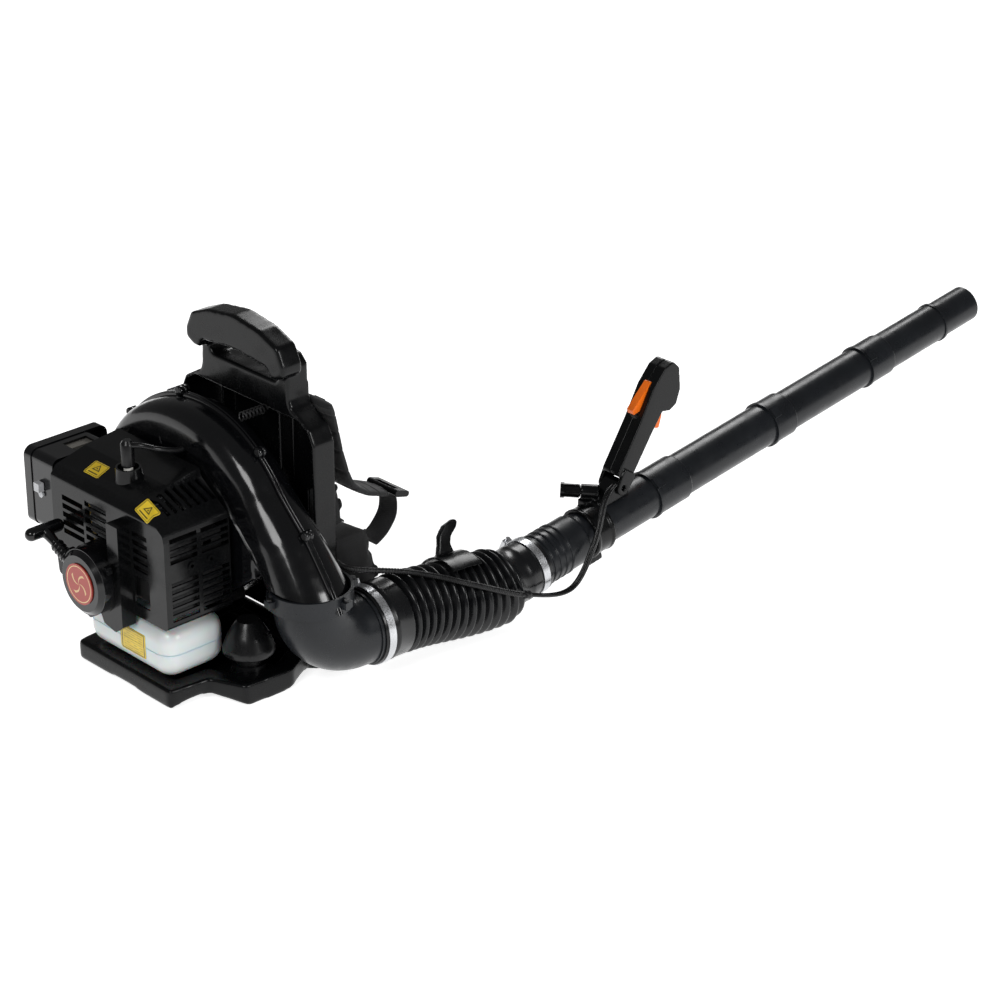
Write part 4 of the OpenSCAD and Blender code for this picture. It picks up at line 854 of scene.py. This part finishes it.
def strap(name, sign):
    """Padded strap: a crowned section, pinched at its sewn channels and rounded at its ends."""
    line = side_line(STRAP, 26)
    rings = []
    for i, (p, t, _, _) in enumerate(frames(line)):
        side = Vector((1, 0, 0))
        s = i / (len(line) - 1)
        pinch = 1 - 0.35 * math.exp(-((((s * CHANNELS) % 1.0) - 0.5) / 0.07) ** 2)
        end = min(1.0, s / 0.04, (1 - s) / 0.04) ** 0.5 if 0 < s < 1 else 0.15
        half_w = (STRAP_HALF_W - 0.004 * max(0.0, (s - 0.75) / 0.25)) * (0.85 + 0.15 * end)
        half_t = STRAP_HALF_T * pinch * max(end, 0.15)
        rings.append(ring_points(p + side * (sign * STRAP_X), side, t.cross(side).normalized(),
                                 half_w, half_t, 28, 3.2))
    return loft(name, rings)


def band(name, line, sign, half_w, half_t):
    """Flat webbing along a side line."""
    side = Vector((1, 0, 0))
    rings = []
    for p, t, _, _ in frames(line):
        up = t.cross(side).normalized()
        rings.append(ring_points(p + side * (sign * STRAP_X), side, up, half_w, half_t, 16, 6.0))
    return loft(name, rings)


for sign, word in ((1, "right"), (-1, "left")):
    place_piece(strap("shoulder_pad_" + word, sign), "frame", "pad_fabric", "shoulder_strap_" + word)
    over_strap = side_line([(y + 5.2, z + 2.2) for y, z in STRAP], 16)[4:-4]
    place_piece(band("strap_tape_" + word, over_strap, sign, 0.011, 0.0009), "frame", "web_fabric")
    place_piece(band("web_" + word, side_line(WEB, 12), sign, 0.019, 0.0013), "frame", "web_fabric",
                "webbing_" + word)

# ---------------------------------------------------------------- labels


def label_mat(name, sign):
    """Printed film: yellow with a thin border and generic marks, rows of bars or a triangle."""
    g = Graph(name)
    x, y, _ = g.axes(g.add("ShaderNodeTexCoord").outputs["UV"])
    ax, ay = g.math("ABSOLUTE", x), g.math("ABSOLUTE", y)
    edge = g.math("MAXIMUM", ax, ay)
    border = g.math("MULTIPLY", g.math("GREATER_THAN", edge, 0.84), g.math("LESS_THAN", edge, 0.9))
    if sign:
        up = g.math("ADD", y, -0.12)
        side = g.math("ADD", g.math("MULTIPLY", ax, 0.95), g.math("MULTIPLY", up, 0.5))
        tri = g.math("MAXIMUM", side, g.math("MULTIPLY", up, -1.0))
        marks = g.math("MULTIPLY", g.math("GREATER_THAN", tri, 0.2), g.math("LESS_THAN", tri, 0.31))
        dot = g.math("LESS_THAN", g.math("MAXIMUM", ax, g.math("ABSOLUTE", g.math("ADD", y, -0.1))), 0.08)
        bar = g.math("MULTIPLY", g.math("LESS_THAN", g.math("ABSOLUTE", g.math("ADD", y, 0.6)), 0.07),
                     g.math("LESS_THAN", ax, 0.62))
        marks = g.math("MAXIMUM", marks, g.math("MAXIMUM", dot, bar))
    else:
        rows = g.math("FRACT", g.math("MULTIPLY", y, 5.0))
        line = g.math("FLOOR", g.math("MULTIPLY", y, 5.0))
        where = g.add("ShaderNodeCombineXYZ")
        g.link(g.math("MULTIPLY", x, 7.0), where.inputs["X"])
        g.link(g.math("MULTIPLY", line, 3.7), where.inputs["Y"])
        gaps = g.add("ShaderNodeTexNoise", Scale=1.0, Detail=0.0)
        g.link(where.outputs[0], gaps.inputs["Vector"])
        strokes = g.math("LESS_THAN", g.math("ABSOLUTE", g.math("ADD", rows, -0.5)), 0.13)
        inside = g.math("LESS_THAN", edge, 0.74)
        broken = g.math("GREATER_THAN", gaps.outputs["Fac"], 0.4)
        marks = g.math("MULTIPLY", g.math("MULTIPLY", strokes, inside), g.math("MULTIPLY", broken, 0.75))
    ink = g.math("MAXIMUM", border, marks)
    cloud = g.ramp(g.noise(60.0), 0.3, 0.7)
    film = g.mix(cloud, (0.72, 0.5, 0.02), (0.82, 0.6, 0.03))
    g.set(Base_Color=g.mix(ink, film, (0.02, 0.018, 0.01)), Roughness=0.35, Coat_Weight=0.2)
    g.bump(g.noise(900.0), 0.03, 0.0002)
    return g.mat


def decal(name, target, finish, centre, u, v, half_w, half_h, dip, corner=0.0025):
    """Rounded film along u and v, draped on the target but not deeper than dip."""
    cols, rows, lift, thickness = 28, 16, 0.00035, 0.0003
    bpy.context.view_layer.update()
    tree = BVHTree.FromObject(target, bpy.context.evaluated_depsgraph_get())
    u, v = Vector(u).normalized(), Vector(v).normalized()
    n = u.cross(v).normalized()
    v = n.cross(u)
    verts, uvs = [], []
    for i in range(cols + 1):
        a = -half_w + 2 * half_w * i / cols
        over = max(0.0, abs(a) - (half_w - corner))
        top = half_h - corner + math.sqrt(max(0.0, corner ** 2 - over ** 2))
        for k in range(rows + 1):
            b = -top + 2 * top * k / rows
            p = Vector(centre) + u * a + v * b
            hit, _, _, _ = tree.ray_cast(p + n * 0.02, -n, 0.03)
            depth = max((hit - p).dot(n), -dip) if hit else -dip
            verts.append(p + n * (depth + lift))
            uvs.append((a / half_w, b / half_h))
    faces = []
    for i in range(cols):
        for k in range(rows):
            here, beyond = i * (rows + 1) + k, (i + 1) * (rows + 1) + k
            faces.append((here, beyond, beyond + 1, here + 1))
    ob = new_object(name, verts, faces)
    layer = ob.data.uv_layers.new(name="film")
    for loop in ob.data.loops:
        layer.data[loop.index].uv = uvs[loop.vertex_index]
    m = ob.modifiers.new("thick", "SOLIDIFY")
    m.thickness, m.offset = thickness, -1
    ob.data.materials.append(finish)
    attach(ob, "frame")
    return ob


SIGN, PRINT = label_mat("label_sign", True), label_mat("label_print", False)
engine_cover = nodes["engine_cover"]
label_top = decal("label_top", engine_cover, SIGN, (-0.1035, -0.2205, 0.2915), (1, 0, 0), (0, 1, 0.4),
                  0.0165, 0.0125, 0.004)
decal("label_corner", engine_cover, SIGN, (0.0375, -0.2415, 0.2840), (1, 0, -0.45), (0, 1, 0.75),
      0.0155, 0.0120, 0.0035)
decal("label_tank", tank_piece, PRINT, (-0.001, -0.2495, 0.0725), (1, 0, 0), (0, 0, 1),
      0.028, 0.0185, 0.004, 0.003)
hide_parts("labels")

# ---------------------------------------------------------------- stage, light and camera

FLOOR_HALF = 20
FLOOR_GLOW = 0.85
WORLD_LIGHT, SKY_SEEN = 0.14, 1.0
LIGHTS_AIM = Vector((0.1, 0.1, 0.2))

corners = [(-1, -1), (1, -1), (1, 1), (-1, 1)]
floor = new_object("floor", [(x * FLOOR_HALF, y * FLOOR_HALF, 0) for x, y in corners], [(0, 1, 2, 3)])
g = Graph("floor_white")
pale = g.mix(g.ramp(g.noise(3.0), 0.3, 0.7), (0.9, 0.9, 0.9), (0.93, 0.93, 0.93))
g.set(Base_Color=pale, Roughness=0.9, Specular_IOR_Level=0.1, Emission_Color=pale,
      Emission_Strength=FLOOR_GLOW)
floor.data.materials.append(g.mat)

# The backdrop is white to the camera and dim to the object, so that black mouldings stay black.
scene = bpy.context.scene
world = bpy.data.worlds.new("studio")
scene.world = world
world.use_nodes = True
sky = world.node_tree.nodes["Background"]
sky.inputs["Color"].default_value = (1, 1, 1, 1)
seen = world.node_tree.nodes.new("ShaderNodeLightPath")
level = world.node_tree.nodes.new("ShaderNodeMapRange")
level.inputs["To Min"].default_value = WORLD_LIGHT
level.inputs["To Max"].default_value = SKY_SEEN
world.node_tree.links.new(seen.outputs["Is Camera Ray"], level.inputs["Value"])
world.node_tree.links.new(level.outputs["Result"], sky.inputs["Strength"])


def area(name, where, size, power):
    """Square softbox aimed at the machine."""
    light = bpy.data.lights.new(name, "AREA")
    light.shape, light.size, light.energy = "SQUARE", size, power
    ob = bpy.data.objects.new(name, light)
    ob.location = where
    ob.rotation_euler = (LIGHTS_AIM - Vector(where)).to_track_quat("-Z", "Y").to_euler()
    scene.collection.objects.link(ob)


area("key", (1.2, -2.6, 2.6), 1.3, 46)
area("side", (3.2, 0.6, 1.6), 1.0, 40)
area("back", (-1.5, 2.4, 2.2), 1.3, 40)

camera = bpy.data.objects.new("camera", bpy.data.cameras.new("camera"))
scene.collection.objects.link(camera)
camera.data.lens = 107.9
camera.data.sensor_width = 36
camera.data.clip_end = 50
camera.location = (2.9993, -2.3973, 2.0311)
camera.rotation_euler = (math.radians(64.5), 0, math.radians(46.5))
scene.camera = camera
scene.view_settings.view_transform = "Standard"
